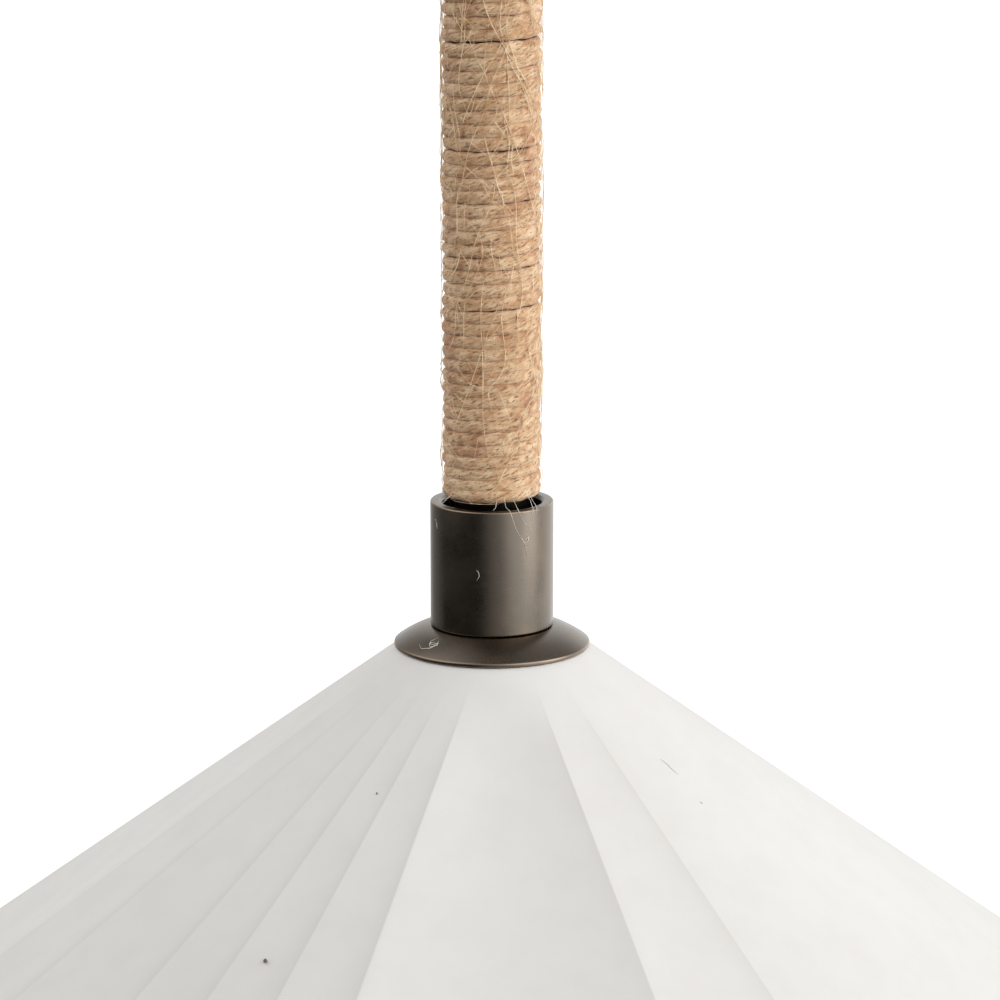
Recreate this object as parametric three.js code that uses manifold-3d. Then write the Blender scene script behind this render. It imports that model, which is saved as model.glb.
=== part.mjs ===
// A ceiling pendant: a canopy, a hang-straight swivel, a rigid stem wrapped in jute twine, two bronze
// collars, a saucer flange and a wide creased cone shade over a screw-base bulb.
// Millimetres, +Z up. The origin is the middle of the ceiling face, and the lamp hangs down from it.

import * as THREE from 'three';
import { mergeVertices } from 'three/addons/utils/BufferGeometryUtils.js';
import Module from 'manifold-3d';

const wasm = await Module();
wasm.setup();

// ---------------------------------------------------------------- fits
const seatGap = 0.3; // between two faces that rest on each other
const boreGap = 0.3; // round a shaft, thread or pin in its hole

// ---------------------------------------------------------------- driving sizes
const canopyRadius = 65;
const canopyHeight = 28;
const canopyWall = 1.5;
const canopyCorner = 13;

const barLength = 110;
const barWidth = 22;
const barThickness = 2.5;
const barCentreHole = 7;
const boxSlotOffset = 30;
const boxSlotLength = 12;
const boxSlotRadius = 2.3;

const studOffset = 44.45;
const studRadius = 2;
const studNutFlats = 7;
const studNutHeight = 2.4;
const knobRadius = 5.5;
const knobHeight = 9;
const knobRoof = 2;

const groundScrewOffset = 17.5;
const groundScrewRadius = 1.8;
const groundHeadRadius = 3.6;
const groundHeadHeight = 2;

const nippleRadius = 5;
const nippleBore = 3.5;
const nippleStandUp = 6;
const jamNutFlats = 17;
const jamNutHeight = 4;
const jamWasherRadius = 11;
const jamWasherThickness = 1.2;

const swivelRadius = 12.7;
const forkBossHeight = 7;
const forkSlotWidth = 16;
const forkFlatOffset = 12;
const cheekHalfWidth = 9;
const bossToPivot = 15;
const swivelNutFlats = 12.7;
const swivelNutHeight = 4;
const barrelSlotWidth = 6.6;
const barrelSlotDepth = 5;
const pivotToShoulder = 11;
const shoulderHeight = 3;
const pivotRadius = 2;
const pivotHeadRadius = 3.8;
const pivotHeadHeight = 2.2;
const pivotTipInset = 0.7;

const pipeRadius = 9.525;
const pipeWall = 1.6;
const bushingHeight = 12;
const bushingInset = 0.3;
const stubEngagement = 11;
const twineDiameter = 2.9;
const wrapRadius = pipeRadius + boreGap + twineDiameter;
const wrapLength = 450;
const wrapSetback = 2.4;

const collarHeight = 32.6;
const collarWall = 3.2;
const collarRadius = wrapRadius + collarWall;
const collarFloor = 3;
const collarEdge = 0.4;

const saucerRadius = 25.4;
const saucerHeight = 5.35;
const saucerLip = 0.9;
const saucerWall = 1.2;
const saucerCrownRadius = collarRadius + 0.1;
const saucerBulge = 0.6;
const gasketRadius = 14;

const shadeRadius = 305;
const shadeSlope = 36.2;
const shadeWall = 4;
const crownThickness = 5;
const crownInset = 0.5;
const creaseStart = 4;
const creaseRun = 36;
const creaseDepth = 1.45;
const roundPanelFrom = 60;

const clampWasherRadius = 20;
const clampWasherThickness = 1.5;
const cupRadius = 19.4;
const cupWall = 1.2;
const cupHeight = 60;
const cupRoof = 1.5;
const socketNutFlats = 14;
const socketNutHeight = 3;
const nippleTail = 1;
const wiringRoom = 9;
const insulatorFloor = 16;
const insulatorRecess = 2;
const insulatorWall = 3;
const shellWall = 0.6;
const shellInset = 1;
const shellFloorHole = 5;
const contactRadius = 3.4;
const contactRivet = 1.5;
const contactRivetDepth = 6;
const contactThickness = 1.4;
const terminalOffset = 10.5;
const terminalHeadRadius = 2.8;
const terminalHeadHeight = 1.8;
const terminalShankRadius = 1.5;
const terminalShankLength = 5;

const capRadius = 13.2;
const capHeight = 23;
const capWall = 0.8;
const tipRadius = 4;
const tipHeight = 2;
const capConeHeight = 3.5;
const capConeRadius = 12.2;
const glassRadius = 30;
const glassLength = 95;
const glassNeckRadius = 11.6;
const glassWall = 0.8;
const glassInCap = 18;
const mountRadius = 4;
const mountHeight = 36;
const mountDiscRadius = 9;
const mountDiscThickness = 1.4;
const filamentLength = 30;
const filamentRadius = 1;
const filamentCircle = 6.5;
const filamentCount = 4;

const cableRadius = 2.6;
const leadRadius = 1;
const wireCapRadius = 6.2;
const wireCapMouth = 4;
const wireCapLength = 24;
const wireCapOffset = 30;
const wireCapDrop = 15;

// Angles of the shade's creases, degrees round from the front towards +X. The widths between them
// are uneven on purpose, and the widest panel stays round.
const creaseAngles = [
  -163, -149, -128, -114, -80, -67, -48, -38, -29, -19, 21, 37, 112, 124, 143, 154, 176,
];

// ---------------------------------------------------------------- heights, from the ceiling down
const canopyFloorTop = -canopyHeight + canopyWall;
const forkTop = -canopyHeight - seatGap;
const forkBossBottom = forkTop - forkBossHeight;
const pivotLevel = forkBossBottom - bossToPivot;
const shoulderTop = pivotLevel - pivotToShoulder;
const shoulderBottom = shoulderTop - shoulderHeight;
const upperCollarTop = shoulderBottom - seatGap;
const pipeTop = upperCollarTop - collarFloor - seatGap;
const upperCollarBottom = upperCollarTop - collarHeight;
const wrapTop = upperCollarBottom - wrapSetback;
const wrapBottom = wrapTop - wrapLength;
const lowerCollarTop = wrapBottom - wrapSetback;
const lowerCollarBottom = lowerCollarTop - collarHeight;
const pipeBottom = lowerCollarBottom + collarFloor + seatGap;
const saucerTop = lowerCollarBottom - seatGap;
const saucerRim = saucerTop - saucerHeight;
const crownTop = saucerRim - seatGap;
const crownBottom = crownTop - crownThickness;
const clampWasherTop = crownBottom - seatGap;
const clampNutTop = clampWasherTop - clampWasherThickness - seatGap;
const cupTop = clampNutTop - jamNutHeight - seatGap;
const cupBottom = cupTop - cupHeight;
const socketNutTop = cupTop - cupRoof - seatGap;
const lowerNippleBottom = socketNutTop - socketNutHeight - nippleTail;
const insulatorTop = lowerNippleBottom - wiringRoom;
const insulatorBottom = cupBottom + insulatorRecess;
const shellTop = insulatorTop - insulatorFloor - seatGap;
const contactBottom = shellTop - contactThickness;
const tipTop = contactBottom - seatGap;
const capConeTop = tipTop - tipHeight - seatGap;
const capTop = capConeTop - capConeHeight - seatGap;
const glassTop = capTop - capHeight + glassInCap;
const mountTop = glassTop - 2 * glassWall;
const mountBottom = mountTop - mountHeight;
const filamentTop = mountBottom - seatGap;
const hubTop = filamentTop - filamentLength - seatGap;
const cableEnd = lowerNippleBottom - 2;

// ---------------------------------------------------------------- finishes
function finish(color, roughness, metalness) {
  return new THREE.MeshStandardMaterial({ color, roughness, metalness });
}

const bronze = finish(0x3b322c, 0.42, 0.9);
const steel = finish(0x9a9c9e, 0.4, 1);
const jute = finish(0xb59672, 0.95, 0);
const pulp = finish(0xece8df, 0.9, 0);
const rubber = finish(0x22211f, 0.85, 0);
const porcelain = finish(0xf1efe8, 0.25, 0);
const brass = finish(0xc2a05a, 0.32, 1);
const clearGlass = finish(0xe9f1f0, 0.05, 0);
const filamentYellow = finish(0xe7b94b, 0.6, 0);
const blackSleeve = finish(0x1c1b1a, 0.6, 0);
const whiteSleeve = finish(0xe4e2da, 0.6, 0);
const greenSleeve = finish(0x2f7a3d, 0.6, 0);
const wireCapGrey = finish(0x6f6a64, 0.6, 0);

// ---------------------------------------------------------------- shape helpers
const wideSides = 40;
const roundSides = 28;
const smallSides = 12;

/** A turned solid about Z. The outline is a list of [radius, height], anticlockwise. */
function turned(outline, sides = roundSides) {
  const points = outline.map(([radius, height]) => new THREE.Vector2(radius, height));
  return new THREE.LatheGeometry(points, sides).rotateX(Math.PI / 2);
}

/** A turned ring between two radii, from bottom to top. */
function ring(outer, inner, bottom, top, sides = roundSides) {
  return turned([[inner, bottom], [outer, bottom], [outer, top], [inner, top], [inner, bottom]], sides);
}

/** A plain round bar about Z, from bottom to top. */
function bar(radius, bottom, top, sides = roundSides) {
  return turned([[0, bottom], [radius, bottom], [radius, top], [0, top]], sides);
}

/** Points on an arc of an outline, in degrees, with both ends. */
function arc(centreRadius, centreHeight, radius, from, to, steps) {
  const points = [];
  for (let i = 0; i <= steps; i += 1) {
    const angle = THREE.MathUtils.degToRad(from + ((to - from) * i) / steps);
    points.push([centreRadius + radius * Math.cos(angle), centreHeight + radius * Math.sin(angle)]);
  }
  return points;
}

/** A six-sided nut about Z with a round hole. */
function hexNut(acrossFlats, hole, bottom, top) {
  const corner = acrossFlats / Math.sqrt(3);
  const outline = new THREE.Shape();
  outline.moveTo(corner, 0);
  for (let i = 1; i < 6; i += 1) {
    const angle = (i * Math.PI) / 3;
    outline.lineTo(corner * Math.cos(angle), corner * Math.sin(angle));
  }
  outline.closePath();
  outline.holes.push(circlePath(0, 0, hole));
  const nut = new THREE.ExtrudeGeometry(outline, {
    depth: top - bottom,
    bevelEnabled: false,
    curveSegments: smallSides,
  });
  return nut.translate(0, 0, bottom);
}

function circlePath(x, y, radius) {
  const path = new THREE.Path();
  path.absarc(x, y, radius, 0, 2 * Math.PI, false);
  return path;
}

/** A round-ended outline along X, centred on x, y. */
function stadium(target, x, y, length, radius) {
  const reach = length / 2 - radius;
  target.absarc(x + reach, y, radius, -Math.PI / 2, Math.PI / 2, false);
  target.absarc(x - reach, y, radius, Math.PI / 2, (3 * Math.PI) / 2, false);
  target.closePath();
  return target;
}

/** A screw about Z: its head's seat is at height 0, the head above it and the shank below. */
function screw(headRadius, headHeight, shankRadius, shankLength) {
  const rise = headHeight * 0.35;
  return turned([
    [0, -shankLength],
    [shankRadius, -shankLength],
    [shankRadius, 0],
    [headRadius, 0],
    [headRadius, headHeight - rise],
    [headRadius - rise, headHeight],
    [0, headHeight],
  ], smallSides);
}

/** A round lead along a smooth curve through the given points. */
function lead(points, radius, steps) {
  const path = new THREE.CatmullRomCurve3(points.map((point) => new THREE.Vector3(...point)));
  const section = new THREE.Shape();
  section.absarc(0, 0, radius, 0, 2 * Math.PI, false);
  return new THREE.ExtrudeGeometry(section, { steps, curveSegments: 3, extrudePath: path });
}

function toManifold(geometry) {
  const bare = geometry.clone();
  bare.deleteAttribute('normal');
  bare.deleteAttribute('uv');
  const merged = mergeVertices(bare, 1e-4);
  const mesh = new wasm.Mesh({
    numProp: 3,
    vertProperties: new Float32Array(merged.attributes.position.array),
    triVerts: new Uint32Array(merged.index.array),
  });
  return new wasm.Manifold(mesh);
}

function fromManifold(solid) {
  const mesh = solid.getMesh();
  const geometry = new THREE.BufferGeometry();
  geometry.setAttribute('position', new THREE.BufferAttribute(new Float32Array(mesh.vertProperties), 3));
  geometry.setIndex(new THREE.BufferAttribute(new Uint32Array(mesh.triVerts), 1));
  return geometry;
}

/** The first geometry less all the others. */
function cut(geometry, ...tools) {
  let solid = toManifold(geometry);
  for (const tool of tools) {
    solid = solid.subtract(toManifold(tool));
  }
  return fromManifold(solid);
}

/** The part of a geometry that lies inside a second one. */
function common(geometry, limit) {
  return fromManifold(toManifold(geometry).intersect(toManifold(limit)));
}

function block(sizeX, sizeY, bottom, top) {
  return new THREE.BoxGeometry(sizeX, sizeY, top - bottom).translate(0, 0, (bottom + top) / 2);
}

// ---------------------------------------------------------------- assembly
const pendant = new THREE.Group();

function add(name, geometry, material, parent = pendant) {
  const mesh = new THREE.Mesh(geometry, material);
  mesh.name = name;
  parent.add(mesh);
  return mesh;
}

const sides = [['left', -1], ['right', 1]];

// ---------------------------------------------------------------- canopy
function mountingBar() {
  const outline = stadium(new THREE.Shape(), 0, 0, barLength, barWidth / 2);
  outline.holes.push(circlePath(0, 0, barCentreHole));
  outline.holes.push(circlePath(groundScrewOffset, 0, groundScrewRadius + boreGap));
  for (const [, side] of sides) {
    outline.holes.push(circlePath(side * studOffset, 0, studRadius + boreGap));
    outline.holes.push(stadium(new THREE.Path(), side * boxSlotOffset, 0, boxSlotLength, boxSlotRadius));
  }
  const plate = new THREE.ExtrudeGeometry(outline, {
    depth: barThickness,
    bevelEnabled: false,
    curveSegments: 6,
  });
  return plate.translate(0, 0, -barThickness);
}

function canopyShell() {
  const corner = arc(canopyRadius - canopyCorner, canopyCorner - canopyHeight, canopyCorner, -90, 0, 4);
  const innerCorner = canopyCorner - canopyWall;
  const inside = arc(canopyRadius - canopyCorner, canopyCorner - canopyHeight, innerCorner, 0, -90, 4);
  const hole = nippleRadius + boreGap;
  const bowl = turned([
    [hole, -canopyHeight],
    ...corner,
    [canopyRadius, 0],
    [canopyRadius - canopyWall, 0],
    ...inside,
    [hole, canopyFloorTop],
    [hole, -canopyHeight],
  ], wideSides);
  const drills = sides.map(([, side]) => {
    const drill = bar(studRadius + boreGap, -canopyHeight - 1, canopyFloorTop + 1, smallSides);
    return drill.translate(side * studOffset, 0, 0);
  });
  return cut(bowl, ...drills);
}

/** A blind cap nut that closes over the end of a canopy stud. */
function knob() {
  const boreTop = knobHeight - knobRoof;
  const edge = 1;
  return turned([
    [0, -knobHeight],
    [knobRadius - 2 * edge, -knobHeight],
    [knobRadius - edge, -knobHeight + edge],
    [knobRadius, -knobHeight + 3 * edge],
    [knobRadius, -edge],
    [knobRadius - edge, 0],
    [studRadius + boreGap, 0],
    [studRadius + boreGap, -boreTop],
    [0, -boreTop],
  ], smallSides);
}

/** A twist-on wire cap, its mouth at the origin and its closed end towards +X. */
function wireCap() {
  const boreDepth = wireCapLength * 0.7;
  const cap = turned([
    [0, boreDepth],
    [wireCapMouth, boreDepth],
    [wireCapMouth, 0],
    [wireCapRadius, 0],
    [wireCapRadius - 1.5, wireCapLength - 2],
    [wireCapRadius - 3, wireCapLength],
    [0, wireCapLength],
  ], smallSides);
  return cap.rotateY(Math.PI / 2);
}

function buildCanopy() {
  add('mounting_bar', mountingBar(), steel);
  add('canopy_shell', canopyShell(), bronze);

  const knobSeat = -canopyHeight - seatGap;
  const studBottom = knobSeat - (knobHeight - knobRoof) + seatGap;
  for (const [label, side] of sides) {
    const stud = add(`canopy_stud_${label}`, bar(studRadius, studBottom, -seatGap, smallSides), steel);
    const nutTop = -barThickness - seatGap;
    const nutShape = hexNut(studNutFlats, studRadius + boreGap, nutTop - studNutHeight, nutTop);
    const nut = add(`stud_nut_${label}`, nutShape, steel);
    const cap = add(`canopy_knob_${label}`, knob(), bronze);
    stud.position.x = side * studOffset;
    nut.position.x = side * studOffset;
    cap.position.set(side * studOffset, 0, knobSeat);
  }

  const screwShape = screw(groundHeadRadius, groundHeadHeight, groundScrewRadius, barThickness);
  const groundScrew = add('ground_screw', screwShape, greenSleeve);
  groundScrew.rotation.x = Math.PI;
  groundScrew.position.set(groundScrewOffset, 0, -barThickness - seatGap);

  const washerTop = canopyFloorTop + seatGap + jamWasherThickness;
  const hole = nippleRadius + boreGap;
  add('canopy_washer', ring(jamWasherRadius, hole, canopyFloorTop + seatGap, washerTop), steel);
  const nutBottom = washerTop + seatGap;
  add('canopy_nut', hexNut(jamNutFlats, hole, nutBottom, nutBottom + jamNutHeight), steel);

  const nippleTop = nutBottom + nippleStandUp;
  const swivelNutTop = forkBossBottom - seatGap;
  const nippleBottom = swivelNutTop - swivelNutHeight;
  add('canopy_nipple', ring(nippleRadius, nippleBore, nippleBottom, nippleTop), steel);
  const swivelNut = hexNut(swivelNutFlats, hole, swivelNutTop - swivelNutHeight, swivelNutTop);
  add('swivel_nut', swivelNut, steel);

  const cableTop = nippleTop + 2;
  add('canopy_cable', bar(cableRadius, nippleBottom, cableTop, smallSides), blackSleeve);
  buildCanopyLeads(cableTop + seatGap + leadRadius / 2);
  return nippleBottom;
}

/** The cable's three conductors: two to their wire caps and one to the ground screw. */
function buildCanopyLeads(start) {
  const capShape = wireCap();
  const mouth = -wireCapLength / 2;
  const poles = [['line', 1, blackSleeve], ['neutral', -1, whiteSleeve]];
  for (const [label, side, sleeve] of poles) {
    const cap = add(`wire_cap_${label}`, capShape.clone(), wireCapGrey);
    cap.position.set(mouth, side * wireCapOffset, -wireCapDrop);
    const route = [
      [0, side * 1.4, start],
      [-5, side * 8, start + 4],
      [-16, side * 18, start + 3],
      [mouth - 11, side * (wireCapOffset - 3), -wireCapDrop + 1.5],
      [mouth - 4, side * wireCapOffset, -wireCapDrop],
      [mouth + 8, side * wireCapOffset, -wireCapDrop],
    ];
    add(`${label}_lead`, lead(route, leadRadius, 14), sleeve);
  }
  const headSide = groundHeadRadius + leadRadius + boreGap;
  const route = [
    [1.4, 0, start],
    [5, 3, start + 3],
    [11, headSide + 1, -barThickness - 4],
    [groundScrewOffset, headSide, -barThickness - seatGap - leadRadius - 0.2],
  ];
  add('ground_lead', lead(route, leadRadius, 10), greenSleeve);
}

// ---------------------------------------------------------------- swivel
/** A round boss with two cheeks that hang from it on each side of the slot. */
function swivelFork() {
  const cheekBottom = pivotLevel - cheekHalfWidth;
  const body = bar(swivelRadius, cheekBottom - 1, forkTop);
  const outline = new THREE.Shape();
  outline.moveTo(swivelRadius + 1, forkTop + 1);
  outline.lineTo(-swivelRadius - 1, forkTop + 1);
  outline.lineTo(-swivelRadius - 1, forkBossBottom);
  outline.lineTo(-cheekHalfWidth, forkBossBottom);
  outline.absarc(0, pivotLevel, cheekHalfWidth, Math.PI, 2 * Math.PI, false);
  outline.lineTo(cheekHalfWidth, forkBossBottom);
  outline.lineTo(swivelRadius + 1, forkBossBottom);
  outline.closePath();
  const limit = new THREE.ExtrudeGeometry(outline, {
    depth: 2 * forkFlatOffset,
    bevelEnabled: false,
    curveSegments: 10,
  });
  limit.translate(0, 0, -forkFlatOffset);
  limit.rotateX(Math.PI / 2);
  limit.rotateZ(Math.PI / 2);
  const shaped = common(body, limit);
  const slot = block(forkSlotWidth, 4 * swivelRadius, cheekBottom - 2, forkBossBottom);
  const bore = bar(nippleRadius + boreGap, forkBossBottom - 1, forkTop + 1);
  return cut(shaped, slot, bore, pivotDrill(pivotRadius + boreGap));
}

function pivotDrill(radius) {
  const drill = bar(radius, -2 * swivelRadius, 2 * swivelRadius, smallSides);
  return drill.rotateY(Math.PI / 2).translate(0, 0, pivotLevel);
}

/** The hollow piece between the cheeks: two ears, a shoulder, and a threaded stub below. */
function swivelBarrel() {
  const earRadius = forkSlotWidth / 2 - boreGap;
  const stubBottom = pipeTop - bushingInset - stubEngagement;
  const boreAngle = THREE.MathUtils.radToDeg(Math.acos(nippleBore / earRadius));
  const body = turned([
    [nippleBore, stubBottom],
    [nippleRadius, stubBottom],
    [nippleRadius, shoulderBottom],
    [swivelRadius, shoulderBottom],
    [swivelRadius, shoulderTop],
    [earRadius, shoulderTop],
    ...arc(0, pivotLevel, earRadius, 0, boreAngle, 4),
    [nippleBore, stubBottom],
  ]);
  const slotBottom = pivotLevel - barrelSlotDepth;
  const slot = block(barrelSlotWidth, 4 * earRadius, slotBottom, pivotLevel + 2 * earRadius);
  return cut(body, slot, pivotDrill(pivotRadius + boreGap));
}

function buildSwivel(nippleBottom) {
  add('swivel_fork', swivelFork(), bronze);
  add('swivel_barrel', swivelBarrel(), bronze);
  const seat = forkFlatOffset + seatGap;
  const shank = seat - barrelSlotWidth / 2 - pivotTipInset;
  for (const [label, side] of sides) {
    const shape = screw(pivotHeadRadius, pivotHeadHeight, pivotRadius, shank);
    const pivot = add(`pivot_screw_${label}`, shape, steel);
    pivot.rotation.y = (side * Math.PI) / 2;
    pivot.position.set(side * seat, 0, pivotLevel);
  }
  const ball = pivotLevel + cableRadius;
  const bend = bar(cableRadius, ball + seatGap, nippleBottom - seatGap, smallSides);
  add('knuckle_cable', bend, blackSleeve);
}

// ---------------------------------------------------------------- stem
/** A round cup with a drilled floor, its mouth at height 0 and its floor below. */
function collarCup() {
  const hole = nippleRadius + boreGap;
  return turned([
    [hole, -collarHeight],
    [collarRadius - collarEdge, -collarHeight],
    [collarRadius, -collarHeight + collarEdge],
    [collarRadius, -collarEdge],
    [collarRadius - collarEdge, 0],
    [wrapRadius + collarEdge, 0],
    [wrapRadius, -collarEdge],
    [wrapRadius, -collarHeight + collarFloor],
    [hole, -collarHeight + collarFloor],
    [hole, -collarHeight],
  ]);
}

function buildStem() {
  const upperCollar = add('upper_collar', collarCup(), bronze);
  upperCollar.rotation.x = Math.PI;
  upperCollar.position.z = upperCollarBottom;
  const lowerCollar = add('lower_collar', collarCup(), bronze);
  lowerCollar.position.z = lowerCollarTop;

  const pipeBore = pipeRadius - pipeWall;
  add('stem_pipe', ring(pipeRadius, pipeBore, pipeBottom, pipeTop), steel);
  add('jute_wrap', ring(wrapRadius, pipeRadius + boreGap, wrapBottom, wrapTop), jute);

  const bushingRadius = pipeBore - boreGap;
  const hole = nippleRadius + boreGap;
  const upperTop = pipeTop - bushingInset;
  add('upper_bushing', ring(bushingRadius, hole, upperTop - bushingHeight, upperTop), steel);
  const lowerBottom = pipeBottom + bushingInset;
  add('lower_bushing', ring(bushingRadius, hole, lowerBottom, lowerBottom + bushingHeight), steel);

  const lowerNippleTop = lowerBottom + stubEngagement;
  add('lower_nipple', ring(nippleRadius, nippleBore, lowerNippleBottom, lowerNippleTop), steel);
  // The upper end is half a ball about the pivot, so it turns in place as the stem tilts.
  const cableDome = arc(0, pivotLevel, cableRadius, 0, 90, 6);
  add('stem_cable', turned([[0, cableEnd], [cableRadius, cableEnd], ...cableDome], smallSides), blackSleeve);
}

// ---------------------------------------------------------------- saucer and shade
/** A spun saucer: a flat crown, a slightly domed slope and a thin lip at height 0. */
function saucer() {
  const run = saucerRadius - saucerCrownRadius;
  const drop = saucerHeight - saucerLip;
  const slope = (share, offset) => {
    const bulge = saucerBulge * 4 * share * (1 - share);
    return [saucerCrownRadius + run * share, saucerHeight - drop * share + bulge - offset];
  };
  const shares = [0, 0.25, 0.5, 0.75, 1];
  const under = saucerWall * Math.hypot(1, drop / run);
  const hole = nippleRadius + boreGap;
  const lastShare = (drop + saucerLip - under) / drop;
  const underShares = [0.25, 0.5, 0.75].filter((share) => share < lastShare - 0.05);
  return turned([
    [saucerRadius - saucerWall, 0],
    [saucerRadius, 0],
    ...shares.toReversed().map((share) => slope(share, 0)),
    [hole, saucerHeight],
    [hole, saucerHeight - saucerWall],
    [saucerCrownRadius - saucerWall / 2, saucerHeight - saucerWall],
    ...underShares.map((share) => slope(share, under)),
    [saucerRadius - saucerWall, 0],
  ], wideSides);
}

/** Columns of the shade's mesh: every crease has one, and each panel is divided between them. */
function shadeColumns() {
  const columns = [];
  creaseAngles.forEach((start, i) => {
    const end = i + 1 < creaseAngles.length ? creaseAngles[i + 1] : creaseAngles[0] + 360;
    const width = end - start;
    const steps = Math.max(3, Math.round(width / 7));
    const halfWidth = THREE.MathUtils.degToRad(width / 2);
    const chordSag = width > roundPanelFrom ? 0 : 1 - Math.cos(halfWidth);
    for (let step = 0; step < steps; step += 1) {
      const share = step / steps;
      const hollow = creaseDepth * chordSag * 4 * share * (1 - share);
      columns.push({ angle: THREE.MathUtils.degToRad(start + width * share), hollow });
    }
  });
  return columns;
}

/** The cone shade: a flat drilled crown, a creased wall of even thickness and a flat rim. */
function shade() {
  const slope = THREE.MathUtils.degToRad(shadeSlope);
  const crownRadius = saucerRadius - crownInset;
  const heightAt = (radius) => -(radius - crownRadius) * Math.tan(slope);
  const radiusAt = (height) => crownRadius - height / Math.tan(slope);
  const rimHeight = heightAt(shadeRadius);
  const wallAcross = shadeWall / Math.sin(slope);
  const hole = nippleRadius + boreGap;
  const underCrown = radiusAt(-crownThickness) - wallAcross;
  const startRadius = crownRadius + creaseStart;
  const fullRadius = startRadius + creaseRun;
  const profile = [
    [hole, -crownThickness],
    [underCrown, -crownThickness],
    [startRadius - wallAcross, heightAt(startRadius)],
    [fullRadius - wallAcross, heightAt(fullRadius)],
    [shadeRadius - wallAcross, rimHeight],
    [shadeRadius, rimHeight],
    [fullRadius, heightAt(fullRadius)],
    [startRadius, heightAt(startRadius)],
    [crownRadius, 0],
    [hole, 0],
    [hole, -crownThickness],
  ];
  const columns = shadeColumns();
  const points = profile.map(([radius, height]) => new THREE.Vector2(radius, height));
  const cone = new THREE.LatheGeometry(points, columns.length);
  const position = cone.attributes.position;
  for (let i = 0; i < position.count; i += 1) {
    const column = columns[Math.floor(i / profile.length) % columns.length];
    const [radius, height] = profile[i % profile.length];
    const outer = radiusAt(height);
    const creased = THREE.MathUtils.smoothstep(outer, startRadius, fullRadius);
    const reach = radius - column.hollow * outer * creased;
    position.setXYZ(i, reach * Math.sin(column.angle), -reach * Math.cos(column.angle), height);
  }
  return cone;
}

function buildShade() {
  const flange = add('saucer_flange', saucer(), bronze);
  flange.position.z = saucerRim;
  const cone = add('shade', shade(), pulp);
  cone.position.z = crownTop;

  const hole = nippleRadius + boreGap;
  const gasketTop = saucerTop - saucerWall - seatGap;
  add('neck_gasket', ring(gasketRadius, hole, crownTop + seatGap, gasketTop), rubber);
  const washerBottom = clampWasherTop - clampWasherThickness;
  add('clamp_washer', ring(clampWasherRadius, hole, washerBottom, clampWasherTop), steel);
  add('clamp_nut', hexNut(jamNutFlats, hole, clampNutTop - jamNutHeight, clampNutTop), steel);
}

// ---------------------------------------------------------------- socket
function buildSocket() {
  const hole = nippleRadius + boreGap;
  const cupBore = cupRadius - cupWall;
  const edge = 1;
  const cup = turned([
    [cupBore, cupBottom],
    [cupRadius, cupBottom],
    [cupRadius, cupTop - edge],
    [cupRadius - edge, cupTop],
    [hole, cupTop],
    [hole, cupTop - cupRoof],
    [cupBore, cupTop - cupRoof],
    [cupBore, cupBottom],
  ]);
  add('socket_cup', cup, bronze);
  add('socket_nut', hexNut(socketNutFlats, hole, socketNutTop - socketNutHeight, socketNutTop), steel);

  const insulatorRadius = cupBore - boreGap;
  const insulatorBore = insulatorRadius - insulatorWall;
  const rivetHole = contactRivet + boreGap;
  const floorBottom = insulatorTop - insulatorFloor;
  const blank = turned([
    [0, floorBottom + contactRivetDepth + boreGap],
    [rivetHole, floorBottom + contactRivetDepth + boreGap],
    [rivetHole, floorBottom],
    [insulatorBore, floorBottom],
    [insulatorBore, insulatorBottom],
    [insulatorRadius, insulatorBottom],
    [insulatorRadius, insulatorTop],
    [0, insulatorTop],
  ]);
  const screwHoles = sides.map(([, side]) => {
    const depth = terminalShankLength + boreGap;
    const drill = bar(terminalShankRadius + boreGap, insulatorTop - depth, insulatorTop + 1, 12);
    return drill.translate(side * terminalOffset, 0, 0);
  });
  add('socket_insulator', cut(blank, ...screwHoles), porcelain);

  const shellRadius = insulatorBore - boreGap;
  const shellBottom = insulatorBottom + shellInset;
  add('screw_shell', turned([
    [shellRadius - shellWall, shellBottom],
    [shellRadius, shellBottom],
    [shellRadius, shellTop],
    [shellFloorHole, shellTop],
    [shellFloorHole, shellTop - shellWall],
    [shellRadius - shellWall, shellTop - shellWall],
    [shellRadius - shellWall, shellBottom],
  ]), brass);
  add('centre_contact', turned([
    [0, contactBottom],
    [contactRadius / 2, contactBottom],
    [contactRadius, shellTop - contactThickness / 2],
    [contactRadius, shellTop],
    [contactRivet, shellTop],
    [contactRivet, shellTop + contactRivetDepth],
    [0, shellTop + contactRivetDepth],
  ], smallSides), brass);
  buildTerminals();
}

/** A terminal screw on each side of the insulator, with its wire from the end of the cable. */
function buildTerminals() {
  const poles = [['line', 1, blackSleeve], ['neutral', -1, whiteSleeve]];
  const seat = insulatorTop + seatGap;
  for (const [label, side, sleeve] of poles) {
    const shape = screw(terminalHeadRadius, terminalHeadHeight, terminalShankRadius, terminalShankLength);
    const terminal = add(`terminal_screw_${label}`, shape, brass);
    terminal.position.set(side * terminalOffset, 0, seat);
    const wireEnd = terminalOffset - terminalHeadRadius - boreGap;
    const level = seat + leadRadius + boreGap;
    const route = [
      [side * 1.3, 0, cableEnd - seatGap],
      [side * 2, 0, (cableEnd + level) / 2 + 0.5],
      [side * wireEnd * 0.6, 0, level + 0.4],
      [side * wireEnd, 0, level],
    ];
    add(`${label}_wire`, lead(route, leadRadius, 8), sleeve);
  }
}

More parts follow.
